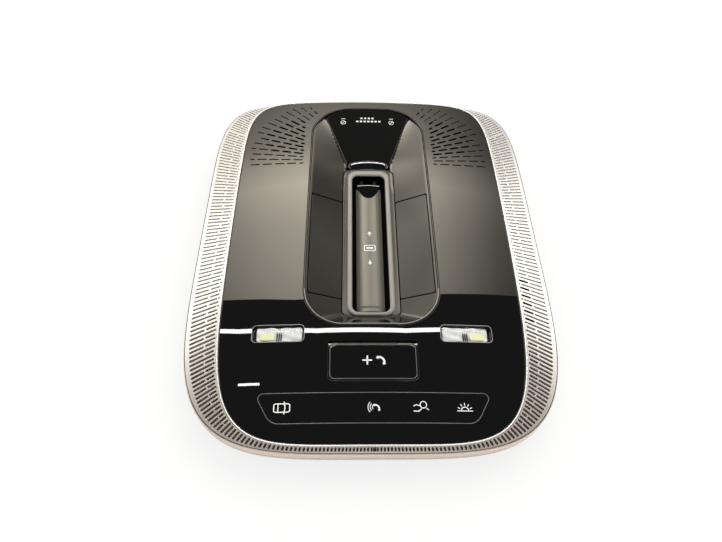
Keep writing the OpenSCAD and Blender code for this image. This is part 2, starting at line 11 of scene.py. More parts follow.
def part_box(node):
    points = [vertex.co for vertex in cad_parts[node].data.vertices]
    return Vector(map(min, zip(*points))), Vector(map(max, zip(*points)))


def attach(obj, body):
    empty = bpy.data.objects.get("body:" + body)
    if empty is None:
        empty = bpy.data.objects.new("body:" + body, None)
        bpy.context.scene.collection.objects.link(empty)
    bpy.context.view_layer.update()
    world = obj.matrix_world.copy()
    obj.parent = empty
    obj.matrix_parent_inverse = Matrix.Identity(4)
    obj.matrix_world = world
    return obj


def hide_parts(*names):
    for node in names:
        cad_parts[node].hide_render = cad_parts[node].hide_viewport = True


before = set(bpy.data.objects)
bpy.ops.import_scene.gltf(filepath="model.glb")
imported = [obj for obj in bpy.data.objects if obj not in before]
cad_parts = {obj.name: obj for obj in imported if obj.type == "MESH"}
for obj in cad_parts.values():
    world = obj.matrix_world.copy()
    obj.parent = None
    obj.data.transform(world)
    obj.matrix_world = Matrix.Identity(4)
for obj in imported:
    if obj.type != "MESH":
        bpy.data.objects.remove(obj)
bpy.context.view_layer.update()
MM = 0.001
SIDES = ((1, "right"), (-1, "left"))

# Overall shape in millimetres, as in the solids
low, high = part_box("outer_rim")
RIM_HALF_W = (high.x - low.x) / 2 / MM
RIM_HALF_L = (high.y - low.y) / 2 / MM
RIM_LOW_Z = low.z / MM
RIM_TOP_Z = high.z / MM
PANEL_HALF_W = 96.0
PANEL_HALF_L = 142.2
PANEL_N = (8.0, 5.1)
RIM_N = (6.5, 4.3)
JOINT_IN = 0.12
RING_EDGE_R = 0.35
OUTLINE_STEP = 1.6
PANEL_EDGE_R = 0.9
OPENING_EDGE_R = 0.35
CROWN_Z = 40.0
CROWN_Y = 15.0
BOW_W_R = 1000.0
BOW_L_R = 1200.0

RIM_FOOT = ((1.9, 0.4), (0.5, 0), (0.1, 0.2), (0, 0.8), (0, 2.4), (0.35, 2.6), (0.35, 3.0), (0, 3.2))
RIM_HEAD = ((0, -0.9), (0.12, -0.4), (0.5, -0.1), (0.9, 0), (1.9, 0))

# Ring of slots
RING_EDGE_Z = 25.8
RING_IN = (PANEL_HALF_W + 1.0, PANEL_HALF_L + 1.0)
RING_OUT = (RIM_HALF_W - 1.2, RIM_HALF_L - 0.3)
SLOT_PITCH = 3.0
SIDE_Y = (-107.4, 110.0)
FAN_FOCUS = (60.0, -22.0)
RING_MID_X = 108.0
END_STEP = (1.24, 0.95)
SLOT_SHARE = (0.4, 0.6)
OPEN_SLOT_W = 1.6
OPEN_Y = (-68.0, -33.0)

# Recess
RECESS_HALF_W = 43.0
RECESS_Y = (-69.0, 132.5)
RECESS_R = (25.0, 30.0)
LOW_EDGE_Y = -44.0
FLOOR_Z = 27.0
FLOOR_HALF_W = 19.0
WALL_RISE = 0.5
END_FLOOR_Y = -58.8
END_SLOPE = 0.9
RAMP_STEP = 2.4
RAMP_SLOPE = 0.077
SIDE_RAMP = (74.0, 0.105)
CREASE_BEND_Y = 45.0
LIP_Y = (70.6, 78.0)
DISPLAY_LOW = (17.0, 77.0)
DISPLAY_HIGH = (33.0, 123.0)
LENS_X = (19.6, 41.2)
LENS_Y = (-45.7, 37.0)

LIP_BOW = 0.0125
LIP_PLACES = (0.0, 0.4, 3.0, 3.4, 8.0)
LIP_SLOPES = (0.077, 0.255, 0.272, 0.38, 0.38)

# Roof switch: bezel, bar and the glossy nose in its notch
BEZEL_Z = 27.5
BEZEL_RISE = 0.9
BAR_HALF_W = 9.4
BAR_LOW_Y = -54.4
BAR_R = 2.2
BAR_TOP_Z = 25.8
NOTCH_HALF_W = 8.3
NOSE_GAP = 0.15
NOSE_TOP_Y = 57.4
NOSE_TOP_Z = 25.5
NOSE_PLACES = (0.0, 1.0, 2.0, 15.0)
NOSE_SLOPES = (0.2, 0.232, 0.26, 0.27)

# Lamp windows and emergency cover
LAMP_X = 58.3
LAMP_Y = -75.4
LAMP_SIZE = (31.8, 10.6)
LAMP_R = 2.5
COVER_Y = -93.55
COVER_SIZE = (53.8, 23.9)
COVER_HINGE_Y = -83.15
COVER_BARREL_R = 1.44
COVER_R = 3.8
COVER_GAP = 0.2
HINGE_ROOM = 0.4
HINGE_CORNER_R = 0.8
COVER_BEVEL = (2.2, 0.42)
TOUCH_Y = -121.5
INK_RISE = 0.05

# Speaker slots in the corners of the panel
FAN_Y = 67.0
FAN_STEP = 3.96
FAN_PITCH = 9.2
FAN_SLOT = 7.2
FAN_SLOT_W = 1.4
FAN_ENDS = (52.4, 57.0)
FAN_X = (48.8, 90.6)
SPEAKER = (57.0, 96.0)


def panel_z(x, y):
    return CROWN_Z - x * x / (2 * BOW_W_R) - (y - CROWN_Y) ** 2 / (2 * BOW_L_R)


def smooth_max(a, b, blend):
    h = np.clip(0.5 + 0.5 * (a - b) / blend, 0, 1)
    return b + (a - b) * h + blend * h * (1 - h)


def crease_x(y):
    """Half width of the flat middle; the sloping sides begin there, along the display's edges."""
    flare = (DISPLAY_HIGH[0] - DISPLAY_LOW[0]) / (DISPLAY_HIGH[1] - DISPLAY_LOW[1])
    narrow = np.clip((y - CREASE_BEND_Y) / (DISPLAY_LOW[1] - CREASE_BEND_Y), 0, 1)
    middle = FLOOR_HALF_W + (DISPLAY_LOW[0] + 0.3 - FLOOR_HALF_W) * narrow * narrow * (3 - 2 * narrow)
    return middle + flare * smooth_max(y - DISPLAY_LOW[1], 0, 8.0)


def recess_z(x, y):
    """Height of the recess: floor, sloping sides, end wall and ramp, blended where they meet."""
    foot = smooth_max(FLOOR_Z, FLOOR_Z + SIDE_RAMP[1] * (y - SIDE_RAMP[0]), 2.0)
    width = np.maximum(RECESS_HALF_W - crease_x(y), 4)
    rise = np.clip((panel_z(RECESS_HALF_W, y) - 0.9 - foot) / width, 0.15, WALL_RISE)
    side = foot + rise * (np.abs(x) - crease_x(y))
    end = FLOOR_Z + END_SLOPE * (END_FLOOR_Y - y)
    level = smooth_max(foot, side, 0.15)
    level = smooth_max(level, end, 2.6)
    top = panel_z(x, y) - 0.5
    return -smooth_max(-level, -top, 1.2)


def below(height, drop):
    """The height field lowered by a drop."""
    return lambda x, y: height(x, y) - drop


def gauge(x, y, half, n):
    """1 on the outline with those half sizes, less inside it, more outside."""
    power = np.where(y >= 0, n[0], n[1])
    return (np.abs(x / half[0]) ** power + np.abs(y / half[1]) ** power) ** (1 / power)


def ring_z(x, y):
    """Height of the slotted ring, from the panel's edge down to the rim."""
    inner = np.maximum(gauge(x, y, RING_IN, PANEL_N), 1)
    outer = np.minimum(gauge(x, y, RING_OUT, RIM_N), 1)
    s = (inner - 1) / np.maximum(inner - outer, 1e-9)
    top = panel_z(x / inner, y / inner) - 0.25
    return (1 - s) * top + s * RING_EDGE_Z + 1.2 * s * (1 - s)


def resample(points, spacing):
    """Points spaced evenly along a closed outline."""
    closed = np.vstack([points, points[:1]])
    steps = np.hypot(*np.diff(closed, axis=0).T)
    along = np.concatenate([[0], np.cumsum(steps)])
    count = max(8, int(round(along[-1] / spacing)))
    where = np.linspace(0, along[-1], count, endpoint=False)
    return np.column_stack([np.interp(where, along, closed[:, k]) for k in (0, 1)])


def superellipse(half, n, spacing, grow=0.0):
    """Outline with those half sizes, squarer where its power is higher."""
    a = (half[0] + grow, half[1] + grow)
    phi = np.linspace(0, 2 * math.pi, 2880, endpoint=False) + 1e-4
    unit = np.column_stack([np.cos(phi), np.sin(phi)])
    r = 1 / gauge(*unit.T, a, n)
    return resample(unit * r[:, None], spacing)


def arc(cx, cy, r, first, last, count=12):
    """Points along an arc between two angles in degrees."""
    angles = [math.radians(first + (last - first) * i / (count - 1)) for i in range(count)]
    return [(cx + r * math.cos(a), cy + r * math.sin(a)) for a in angles]


def rounded_rect(w, l, r, centre=(0, 0), segments=6):
    points = []
    for k, (sx, sy) in enumerate(((1, 1), (-1, 1), (-1, -1), (1, -1))):
        cx, cy = centre[0] + sx * (w / 2 - r), centre[1] + sy * (l / 2 - r)
        points += arc(cx, cy, r, 90 * k, 90 * (k + 1), segments + 1)
    return np.array(points)


def recess_outline(grow=0.0):
    points = []
    for k, (sx, low_end) in enumerate(((1, 0), (-1, 0), (-1, 1), (1, 1))):
        r = (RECESS_R[0] if low_end else RECESS_R[1]) + grow
        cx = sx * (RECESS_HALF_W + grow - r)
        cy = RECESS_Y[0] - grow + r if low_end else RECESS_Y[1] + grow - r
        points += arc(cx, cy, r, 90 * k, 90 * (k + 1), 33)
    return resample(np.array(points), 1.2)


def slot_outline(start, stop, cy, angle, width):
    """A slot with round ends along a ray from (0, cy), between two distances."""
    r = width / 2
    p = np.array(arc(stop - r, 0, r, -90, 90, 5) + arc(start + r, 0, r, 90, 270, 5))
    c, s = math.cos(angle), math.sin(angle)
    return np.column_stack([p[:, 0] * c - p[:, 1] * s, cy + p[:, 0] * s + p[:, 1] * c])


def at_height(xy, z):
    """Points of the plane lifted to a height, one for all or one each."""
    return np.column_stack([xy, np.broadcast_to(z, len(xy))])


def left_of(path, closed=True):
    """Unit vectors to the left of a path, one at each of its points."""
    before = np.roll(path, 1, axis=0)
    after = np.roll(path, -1, axis=0)
    if not closed:
        before[0], after[-1] = path[0], path[-1]
    tangent = after - before
    tangent /= np.maximum(np.hypot(*tangent.T)[:, None], 1e-9)
    return np.column_stack([-tangent[:, 1], tangent[:, 0]])


def offset_loop(loop, distance):
    """The loop moved sideways by a distance, to its left when positive, and its left vectors."""
    normal = left_of(loop)
    return loop + normal * distance, normal


def slope_normals(xy, height):
    """Unit normals of a height field at some points."""
    e = 0.05
    x, y = xy[:, 0], xy[:, 1]
    dx = (height(x + e, y) - height(x - e, y)) / (2 * e)
    dy = (height(x, y + e) - height(x, y - e)) / (2 * e)
    n = np.column_stack([-dx, -dy, np.ones(len(x))])
    return n / np.linalg.norm(n, axis=1)[:, None]


class Shape:
    """Vertices, normals and faces in millimetres, turned into one object at the end."""

    def __init__(self):
        self.points = []
        self.normals = []
        self.faces = []
        self.count = 0

    def add(self, points, normals):
        first = self.count
        self.points.append(np.asarray(points, float))
        self.normals.append(np.asarray(normals, float))
        self.count += len(points)
        return np.arange(first, self.count)

    def drape(self, xy, height, rise=0.0):
        """Adds points that lie on a height field, or a little above it."""
        z = height(*xy.T) + rise
        return self.add(at_height(xy, z), slope_normals(xy, height))

    def face(self, *corners):
        self.faces.append([int(c) for c in corners])

    def strip(self, a, b, closed=True):
        """Quads between two rows of vertices."""
        n = len(a)
        for i in range(n if closed else n - 1):
            j = (i + 1) % n
            self.face(a[i], a[j], b[j], b[i])

    def build(self, name, look, slot, body="console", node=None):
        points = np.vstack(self.points)
        normals = np.vstack(self.normals)
        normals /= np.maximum(np.linalg.norm(normals, axis=1)[:, None], 1e-9)
        faces = []
        for f in self.faces:
            p = points[f]
            across = np.cross(p[1] - p[0], p[2] - p[0]) + np.cross(p[2] - p[0], p[-1] - p[0])
            faces.append(f if np.dot(across, normals[f].sum(axis=0)) >= 0 else f[::-1])
        mesh = bpy.data.meshes.new(name)
        mesh.from_pydata((points * MM).tolist(), [], faces)
        mesh.validate()
        mesh.shade_smooth()
        mesh.normals_split_custom_set_from_vertices(normals.tolist())
        dress(mesh, name, look, body, node)


def new_object(name, data):
    item = bpy.data.objects.new(name, data)
    bpy.context.scene.collection.objects.link(item)
    return item


def dress(mesh, name, look, body, node):
    """Makes a piece of a mesh: its material, the body it rides, and the solid it stands for."""
    piece = new_object(name, mesh)
    mesh.materials.append(MATS[look])
    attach(piece, body)
    if node:
        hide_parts(node)


def fill(shape, outer, holes, height, spacing):
    """Triangles over the area inside outer and outside holes, lifted to a height field."""
    loops = [outer] + list(holes)
    flat = np.vstack(loops)
    ends = np.cumsum([len(loop) for loop in loops]).tolist()
    areas = [list(range(end - len(loop), end)) for loop, end in zip(loops, ends)]
    low, high = outer.min(axis=0), outer.max(axis=0)
    gx, gy = np.meshgrid(np.arange(low[0] + spacing / 2, high[0], spacing),
                         np.arange(low[1] + spacing / 2, high[1], spacing))
    grid = np.column_stack([gx.ravel(), gy.ravel()])
    tree = KDTree(len(flat))
    for k, p in enumerate(flat):
        tree.insert((*p, 0), k)
    tree.balance()
    kept = [g for g in grid if tree.find((*g, 0))[2] > spacing * 0.45]
    everything = np.vstack([flat, np.array(kept)]) if kept else flat
    out = delaunay_2d_cdt([Vector(p) for p in everything], [], areas, 1, 1e-5)
    faces = [list(f) for f, inside in zip(out[2], out[5]) if list(inside) == [0]]
    used = sorted({i for f in faces for i in f})
    xy = np.array([(out[0][i].x, out[0][i].y) for i in used])
    index = dict(zip(used, shape.drape(xy, height)))
    for f in faces:
        shape.face(*[index[i] for i in f])


def edge(shape, loop, height, outward, radius, depth, steps=3):
    """Rounds an edge whose flat part starts radius inside the loop, then drops a wall."""
    rings = []
    for k in range(steps + 1):
        turn = math.pi / 2 * k / steps
        moved, normal = offset_loop(loop, -outward * radius * (1 - math.sin(turn)))
        base = moved if k < steps else loop
        z = height(*base.T) - radius * (1 - math.cos(turn))
        n = slope_normals(base, height) * math.cos(turn) + at_height(normal * outward, 0) * math.sin(turn)
        rings.append(shape.add(at_height(base, z), n))
    low = depth(*loop.T) if callable(depth) else z - depth
    rings.append(shape.add(at_height(loop, low), n))
    for a, b in zip(rings, rings[1:]):
        shape.strip(a, b)


def plate(outer, height, spacing, radius, depth):
    """A skin with a rounded edge inside an outline that runs anticlockwise."""
    shape = Shape()
    fill(shape, offset_loop(outer, radius)[0], [], height, spacing)
    edge(shape, outer, height, -1, radius, depth)
    return shape


def walls(shape, loops, height, depth):
    """Plain walls under the edges of many small holes."""
    for loop in loops:
        side = at_height(left_of(loop), 0)
        z = height(*loop.T)
        shape.strip(shape.add(at_height(loop, z), side), shape.add(at_height(loop, z - depth), side))


def sweep(rings):
    """Skin through closed rings of equal length, with normals from the skin itself."""
    shape = Shape()
    grid = np.array(rings)
    along = np.roll(grid, -1, axis=1) - np.roll(grid, 1, axis=1)
    normals = np.cross(along, np.gradient(grid, axis=0))
    indices = [shape.add(ring, n) for ring, n in zip(grid, normals)]
    for a, b in zip(indices, indices[1:]):
        shape.strip(a, b)
    return shape


# Materials
def material(name, colour, roughness, metallic=0.0, **sockets):
    mat = bpy.data.materials.new(name)
    mat.use_nodes = True
    shader = mat.node_tree.nodes["Principled BSDF"]
    set_sockets(shader, Base_Color=(*colour, 1), Roughness=roughness, Metallic=metallic, **sockets)
    return mat


def set_sockets(node, **values):
    """Sets a node's constants, named as in the node with _ for a space."""
    for socket, value in values.items():
        node.inputs[socket.replace("_", " ")].default_value = value


def add_node(mat, kind, **values):
    node = mat.node_tree.nodes.new("ShaderNode" + kind)
    set_sockets(node, **values)
    return node


def join(mat, value, socket):
    mat.node_tree.links.new(value, socket)


def feed(mat, socket, value):
    """Joins a value to a socket of the material's main shader."""
    join(mat, value, mat.node_tree.nodes["Principled BSDF"].inputs[socket])


def place_in_object(mat):
    return add_node(mat, "TexCoord").outputs["Object"]


def axes(mat):
    split = add_node(mat, "SeparateXYZ")
    join(mat, place_in_object(mat), split.inputs["Vector"])
    return split.outputs


def noise(mat, scale, detail=2.0):
    texture = add_node(mat, "TexNoise", Scale=scale, Detail=detail)
    join(mat, place_in_object(mat), texture.inputs["Vector"])
    return texture.outputs["Fac"]


def spread(mat, value, low, high, start=0.3, stop=0.7):
    """A value brought from start..stop to low..high."""
    node = add_node(mat, "MapRange", From_Min=start, From_Max=stop, To_Min=low, To_Max=high)
    join(mat, value, node.inputs["Value"])
    return node.outputs["Result"]


def vary_roughness(mat, scale, low, high):
    feed(mat, "Roughness", spread(mat, noise(mat, scale), low, high))


def vary_colour(mat, scale, dark, light):
    ramp = add_node(mat, "ValToRGB")
    for element, place, colour in zip(ramp.color_ramp.elements, (0.35, 0.65), (dark, light)):
        element.position = place
        element.color = (*colour, 1)
    join(mat, noise(mat, scale, 4), ramp.inputs["Fac"])
    feed(mat, "Base Color", ramp.outputs["Color"])


def grain(mat, scale, strength, distance):
    bump = add_node(mat, "Bump", Strength=strength, Distance=distance)
    join(mat, noise(mat, scale, 3), bump.inputs["Height"])
    feed(mat, "Normal", bump.outputs["Normal"])


def piano_black(name, colour):
    mat = material(name, colour, 0.012)
    vary_roughness(mat, 60, 0.008, 0.018)
    return mat


def satin(name, colour, roughness, metallic):
    mat = material(name, colour, roughness, metallic)
    vary_roughness(mat, 60, roughness * 0.95, roughness * 1.05)
    grain(mat, 5000, 0.02, 0.00001)
    return mat


def moulded(name, colour, roughness=0.55):
    mat = material(name, colour, roughness)
    vary_roughness(mat, 90, roughness * 0.9, roughness * 1.1)
    grain(mat, 1400, 0.25, 0.00008)
    return mat


def fade_along(mat, near, far, start, stop):
    """Base colour that changes from near to far along the console, between two places in metres."""
    mix = add_node(mat, "MixRGB", Color2=(*far, 1))
    join(mat, spread(mat, axes(mat)["Y"], 0, 1, start, stop), mix.inputs["Fac"])
    if isinstance(near, tuple):
        set_sockets(mix, Color1=(*near, 1))
    else:
        join(mat, near, mix.inputs["Color1"])
    feed(mat, "Base Color", mix.outputs["Color"])


def cloth():
    """Woven cloth, pale beside the panel; its darker brown towards the low end is painted shade."""
    mat = material("backing_cloth", (0.3, 0.25, 0.2), 0.9)
    vary_colour(mat, 900, (0.07, 0.05, 0.035), (0.12, 0.09, 0.065))
    # Painted shade: the cloth's colour fades to dark brown towards the low end, where the slots look
    # deeper.
    fade_along(mat, mat.node_tree.nodes["Color Ramp"].outputs["Color"], (0.34, 0.31, 0.25), -0.1, -0.04)
    grain(mat, 1600, 0.6, 0.0003)
    return mat


def print_white():
    mat = material("print_white", (0.82, 0.82, 0.8), 0.5)
    vary_roughness(mat, 400, 0.45, 0.6)
    return mat


def clear_window():
    mat = material("clear_window", (0.02, 0.02, 0.02), 0.02, 0.0, Alpha=0.12)
    vary_roughness(mat, 80, 0.01, 0.03)
    return mat


MATS = {
    "piano": piano_black("piano_black", (0.003, 0.003, 0.003)),
    "trough": piano_black("trough_gloss", (0.012, 0.011, 0.009)),
    "lens": piano_black("smoked_lens", (0.008, 0.009, 0.008)),
    "silver": satin("satin_silver", (0.8, 0.78, 0.74), 0.34, 0.45),
    "rim": satin("rim_silver", (0.76, 0.63, 0.54), 0.34, 0.4),
    "bead": material("chrome_bead", (0.86, 0.85, 0.82), 0.22, 0.25),
    "line": piano_black("recess_line", (0.02, 0.02, 0.02)),
    # Grey ridges whose lighter colour is a painted highlight: the raised line is real shape, the grey
    # stands in for light caught on a black edge.
    "edge": satin("painted_highlight_edge", (0.42, 0.41, 0.4), 0.25, 0.1),
    "strip": satin("strip_satin", (0.035, 0.033, 0.03), 0.22, 0.0),
    "bezel": satin("bezel_satin", (0.24, 0.23, 0.2), 0.34, 0.0),
    "bar": satin("bar_satin", (0.125, 0.12, 0.095), 0.3, 0.0),
    "black": moulded("black_plastic", (0.008, 0.008, 0.008)),
    # Painted shade: near-black with weak specular, so the pieces that wear it read as dark depth and show
    # no reflection.
    "joint": moulded("joint_brown", (0.05, 0.04, 0.034), 0.7),
    "void": moulded("painted_shade_black", (0.002, 0.002, 0.002), 0.8),
    # Grey ridges for the fine lines on the panel and cover: the raised shape is real, their grey colour is
    # a painted highlight.
    "groove": satin("painted_highlight_groove", (0.14, 0.135, 0.13), 0.18, 0.3),
    "housing": moulded("housing_plastic", (0.02, 0.02, 0.021)),
    "frame": moulded("frame_plastic", (0.04, 0.04, 0.04)),
    "steel": satin("steel", (0.55, 0.55, 0.56), 0.3, 0.9),
    "white": moulded("white_reflector", (0.84, 0.84, 0.81), 0.35),
    "led": moulded("led_yellow", (0.92, 0.93, 0.55), 0.4),
    "red": moulded("button_red", (0.3, 0.02, 0.015), 0.45),
    "board": moulded("board_green", (0.02, 0.1, 0.04), 0.4),
    "film": moulded("film_amber", (0.4, 0.2, 0.04), 0.3),
    "cloth": cloth(),
    "print": print_white(),
    "clear": clear_window(),
    "floor": moulded("slot_floor", (0.03, 0.028, 0.025), 0.35),
}
vary_roughness(MATS["bead"], 150, 0.13, 0.2)
# Painted shade: the ring's silver turns a darker warm grey towards the low end, standing in for the dimmer
# surroundings it reflects there.
fade_along(MATS["silver"], (0.56, 0.5, 0.45), (0.8, 0.78, 0.74), -0.125, -0.07)
# The weak specular is part of the void material's painted shade.
set_sockets(MATS["void"].node_tree.nodes["Principled BSDF"], Specular_IOR_Level=0.1)


# Outlines of the small openings
def reach(half, n, cy, angle):
    """Distance from (0, cy) along an angle to an outline."""
    low, high = 0.0, 300.0
    for _ in range(40):
        mid = (low + high) / 2
        x, y = mid * math.cos(angle), cy + mid * math.sin(angle)
        if gauge(np.float64(x), np.float64(y), half, n) < 1:
            low = mid
        else:
            high = mid
    return low


def ring_rows():
    """(centre y, angle, step, even row, margins blend) of every slot row; no step on the sides."""
    def side_row(y):
        slope = (y - FAN_FOCUS[1]) / (RING_MID_X + FAN_FOCUS[0])
        return y - RING_MID_X * slope, math.degrees(math.atan(slope))

    rows = []
    for i in range(int((SIDE_Y[1] - SIDE_Y[0]) / SLOT_PITCH) + 1):
        rows.append((*side_row(SIDE_Y[0] + i * SLOT_PITCH), 0.0, i % 2 == 0, 1.0))
    for y, step in zip(SIDE_Y, END_STEP):
        centre, angle = side_row(y)
        way = math.copysign(1, angle)
        for k in range(1, int((90.2 - abs(angle)) / step) + 1):
            blend = max(0.0, 1 - k * step / 38) ** 2
            rows.append((centre, angle + way * k * step, step, k % 2 == 0, blend))
    return rows


def ring_slots(open_only=False):
    """Outlines of the slots: two in each even row, a long one and a dot in each odd row."""
    slots = []
    for cy, degrees, step, even, blend in ring_rows():
        for side in (1, -1):
            angle = math.radians(degrees if side > 0 else 180 - degrees)
            start = reach(RING_IN, PANEL_N, cy, angle) + 0.25 + 0.4 * blend
            stop = reach(RING_OUT, RIM_N, cy, angle) - 0.7 - 2.2 * blend
            span = stop - start
            middle = (start + stop) / 2
            pitch = middle * math.radians(step) if step else SLOT_PITCH * abs(math.cos(angle))
            low = min(max((-40 - cy - middle * math.sin(angle)) / 50, 0), 1)
            width = pitch * (SLOT_SHARE[0] + (SLOT_SHARE[1] - SLOT_SHARE[0]) * low)
            row_y = cy + RING_MID_X * math.tan(math.radians(degrees))
            is_open = even and not step and side > 0 and OPEN_Y[0] < row_y < OPEN_Y[1]
            if span < 7:
                parts = ((0, 1),)
            elif even:
                parts = ((0.03, 0.42 if is_open else 0.4), (0.46 - 0.03 * low, 1.0))
            else:
                parts = ((0.0, 0.05), (0.1 - 0.02 * low, 1.0))
            if open_only:
                parts = parts[:1] if is_open else ()
            for k, (a, b) in enumerate(parts):
                wide = OPEN_SLOT_W if is_open and k == 0 else width
                lead, tail = start + a * span, start + b * span
                tail = max(tail, lead + wide * 1.15)
                slots.append(slot_outline(lead, tail, cy, angle, wide))
    return slots


def in_fan(x, y):
    """True where the speaker slots may be: between the recess, the panel's edge and the top."""
    corner = (RECESS_HALF_W - RECESS_R[1], RECESS_Y[1] - RECESS_R[1])
    if y > corner[1] and math.hypot(x - corner[0], y - corner[1]) < RECESS_R[1] + 6.5:
        return False
    if y <= corner[1] and x < FAN_X[0]:
        return False
    if x > FAN_X[1] or y > 135.6:
        return False
    return gauge(x, y, (PANEL_HALF_W - 4.5, PANEL_HALF_L - 5.5), (6, 6)) < 1


def fan_slots():
    """Outlines of the speaker slots, laid like bricks along rays and cut at the border."""
    slots = []
    for row in range(15):
        angle = math.radians(row * FAN_STEP + 0.2)
        for k in range(-4, 5):
            stop = (FAN_ENDS[row % 2] + FAN_PITCH * k) / math.cos(angle)
            start = stop - FAN_SLOT / math.cos(angle)
            inside = [r for r in np.linspace(start, stop, 24)
                      if in_fan(r * math.cos(angle), FAN_Y + r * math.sin(angle))]
            if not inside or inside[-1] - inside[0] < 2.4:
                continue
            middle = (inside[0] + inside[-1]) / 2
            centre = (middle * math.cos(angle), FAN_Y + middle * math.sin(angle))
            open_slot = math.hypot(centre[0] - SPEAKER[0] - 3, centre[1] - SPEAKER[1] - 3) < 22
            width = FAN_SLOT_W * (1.3 if open_slot else 0.9)
            for side in (1, -1):
                turned = angle if side > 0 else math.pi - angle
                slots.append(slot_outline(inside[0], inside[-1], FAN_Y, turned, width))
    return slots


def grown_rect(size, r, centre, grow):
    return rounded_rect(size[0] + 2 * grow, size[1] + 2 * grow, r + grow, centre)


def cover_outline(grow=0.0):
    return grown_rect(COVER_SIZE, COVER_R, (0, COVER_Y), grow)


def cover_opening():
    """The opening in the panel, squarer and wider along the hinge so that the cover swings clear."""
    near = cover_outline(COVER_GAP)
    hinge = grown_rect(COVER_SIZE, HINGE_CORNER_R - COVER_GAP, (0, COVER_Y + HINGE_ROOM), COVER_GAP)
    return np.where(near[:, 1:] > COVER_Y, hinge, near)


def lamp_outline(side, grow=0.0):
    return grown_rect(LAMP_SIZE, LAMP_R, (side * LAMP_X, LAMP_Y), grow)


# Pieces
def make_panel():
    shape = Shape()
    outer = superellipse((PANEL_HALF_W, PANEL_HALF_L), PANEL_N, OUTLINE_STEP)
    holes = [recess_outline(1.2)] + [lamp_outline(s, 0.15) for s in (1, -1)] + [cover_opening()]
    slots = fan_slots()
    inner = offset_loop(outer, PANEL_EDGE_R)[0]
    wide = [offset_loop(h, -OPENING_EDGE_R)[0] for h in holes]
    fill(shape, inner, wide + slots, panel_z, 3.0)
    edge(shape, outer, panel_z, -1, PANEL_EDGE_R, 2.0, 4)
    for h in holes:
        edge(shape, h, panel_z, 1, OPENING_EDGE_R, 2.2)
    walls(shape, slots, panel_z, 1.6)
    shape.build("gloss_panel", "piano", "piano_black", node="front_panel")


def make_slot_floor():
    """Shallow floor under the slots that aren't open to the speaker."""
    for side, name in SIDES:
        shape = Shape()
        hole = np.array(arc(side * SPEAKER[0], SPEAKER[1], 23, 0, 351, 40))
        outer = resample(rounded_rect(46, 74, 6, (side * 69, 101)), 3)
        border = (PANEL_HALF_W - 3, PANEL_HALF_L - 3)
        outer = outer[gauge(*outer.T, border, PANEL_N) < 1]
        fill(shape, outer, [hole], below(panel_z, 0.7), 4.0)
        shape.build("blind_slot_floor_" + name, "floor", "black_plastic")


def make_ring():
    shape = Shape()
    outer = superellipse(RING_OUT, RIM_N, OUTLINE_STEP)
    inner = superellipse(RING_IN, PANEL_N, OUTLINE_STEP)
    slots = ring_slots()
    fill(shape, offset_loop(outer, RING_EDGE_R)[0], [inner] + slots, ring_z, 3.0)
    edge(shape, outer, ring_z, -1, RING_EDGE_R, 1.2, 3)
    walls(shape, [inner], ring_z, 1.4)
    walls(shape, slots, ring_z, 1.3)
    shape.build("slotted_ring", "silver", "satin_silver", node="grille_ring")


def make_open_slots():
    """Black gauze close under the slots that let the sound in to the microphone; its near-black void look
    is painted shade of the opening behind it.
    """
    shape = Shape()
    for outline in ring_slots(True):
        fill(shape, offset_loop(outline, 0.03)[0], [], below(ring_z, 0.08), 5.0)
    shape.build("microphone_gauze", "void", "black_plastic")


def make_cloth():
    shape = Shape()
    outer = superellipse((RING_OUT[0] - 1.5, RING_OUT[1] - 1.2), RIM_N, 3)
    inner = superellipse((RING_IN[0] - 1.0, RING_IN[1] - 1.0), PANEL_N, 3)
    fill(shape, outer, [inner], below(ring_z, 1.9), 4.0)
    shape.build("slot_backing", "cloth", "backing_cloth", node="backing_cloth")


def make_bead():
    rings = []
    for k in range(9):
        t = math.pi * k / 8
        grow = 0.5 - 0.45 * math.cos(t)
        loop = superellipse((PANEL_HALF_W, PANEL_HALF_L), PANEL_N, OUTLINE_STEP)
        moved, _ = offset_loop(loop, -grow)
        z = panel_z(*loop.T) - 0.35 + 0.5 * math.sin(t)
        rings.append(at_height(moved, z))
    foot = [ring - (0, 0, 1.8) for ring in (rings[0], rings[-1])]
    shape = sweep([foot[0]] + rings + [foot[1]])
    shape.build("bright_bead", "bead", "chrome_bead", node="trim_bead")


def make_trough_trim():
    rings = []
    for k in range(7):
        t = math.pi * k / 6
        loop = recess_outline(0.65)
        moved, _ = offset_loop(loop, 0.4 * math.cos(t))
        z = panel_z(*loop.T) - 0.3 + 0.3 * math.sin(t)
        rings.append(at_height(moved, z))
    shape = sweep(rings)
    shape.build("recess_bright_line", "line", "chrome_bead", node="trough_trim")
    loop = recess_outline(0.3)
    first = int(np.argmax((loop[:, 1] > LOW_EDGE_Y) & (loop[:, 0] < 0)))
    loop = np.roll(loop, -first, axis=0)
    # Painted highlight: a grey ridge only along the low end of the recess, where its edge catches the
    # light; the rest of the line stays black.
    shape = ridge(loop[loop[:, 1] < LOW_EDGE_Y], 0.36, 0.15, below(panel_z, 0.05), False)
    shape.build("recess_low_highlight", "edge", "chrome_bead")


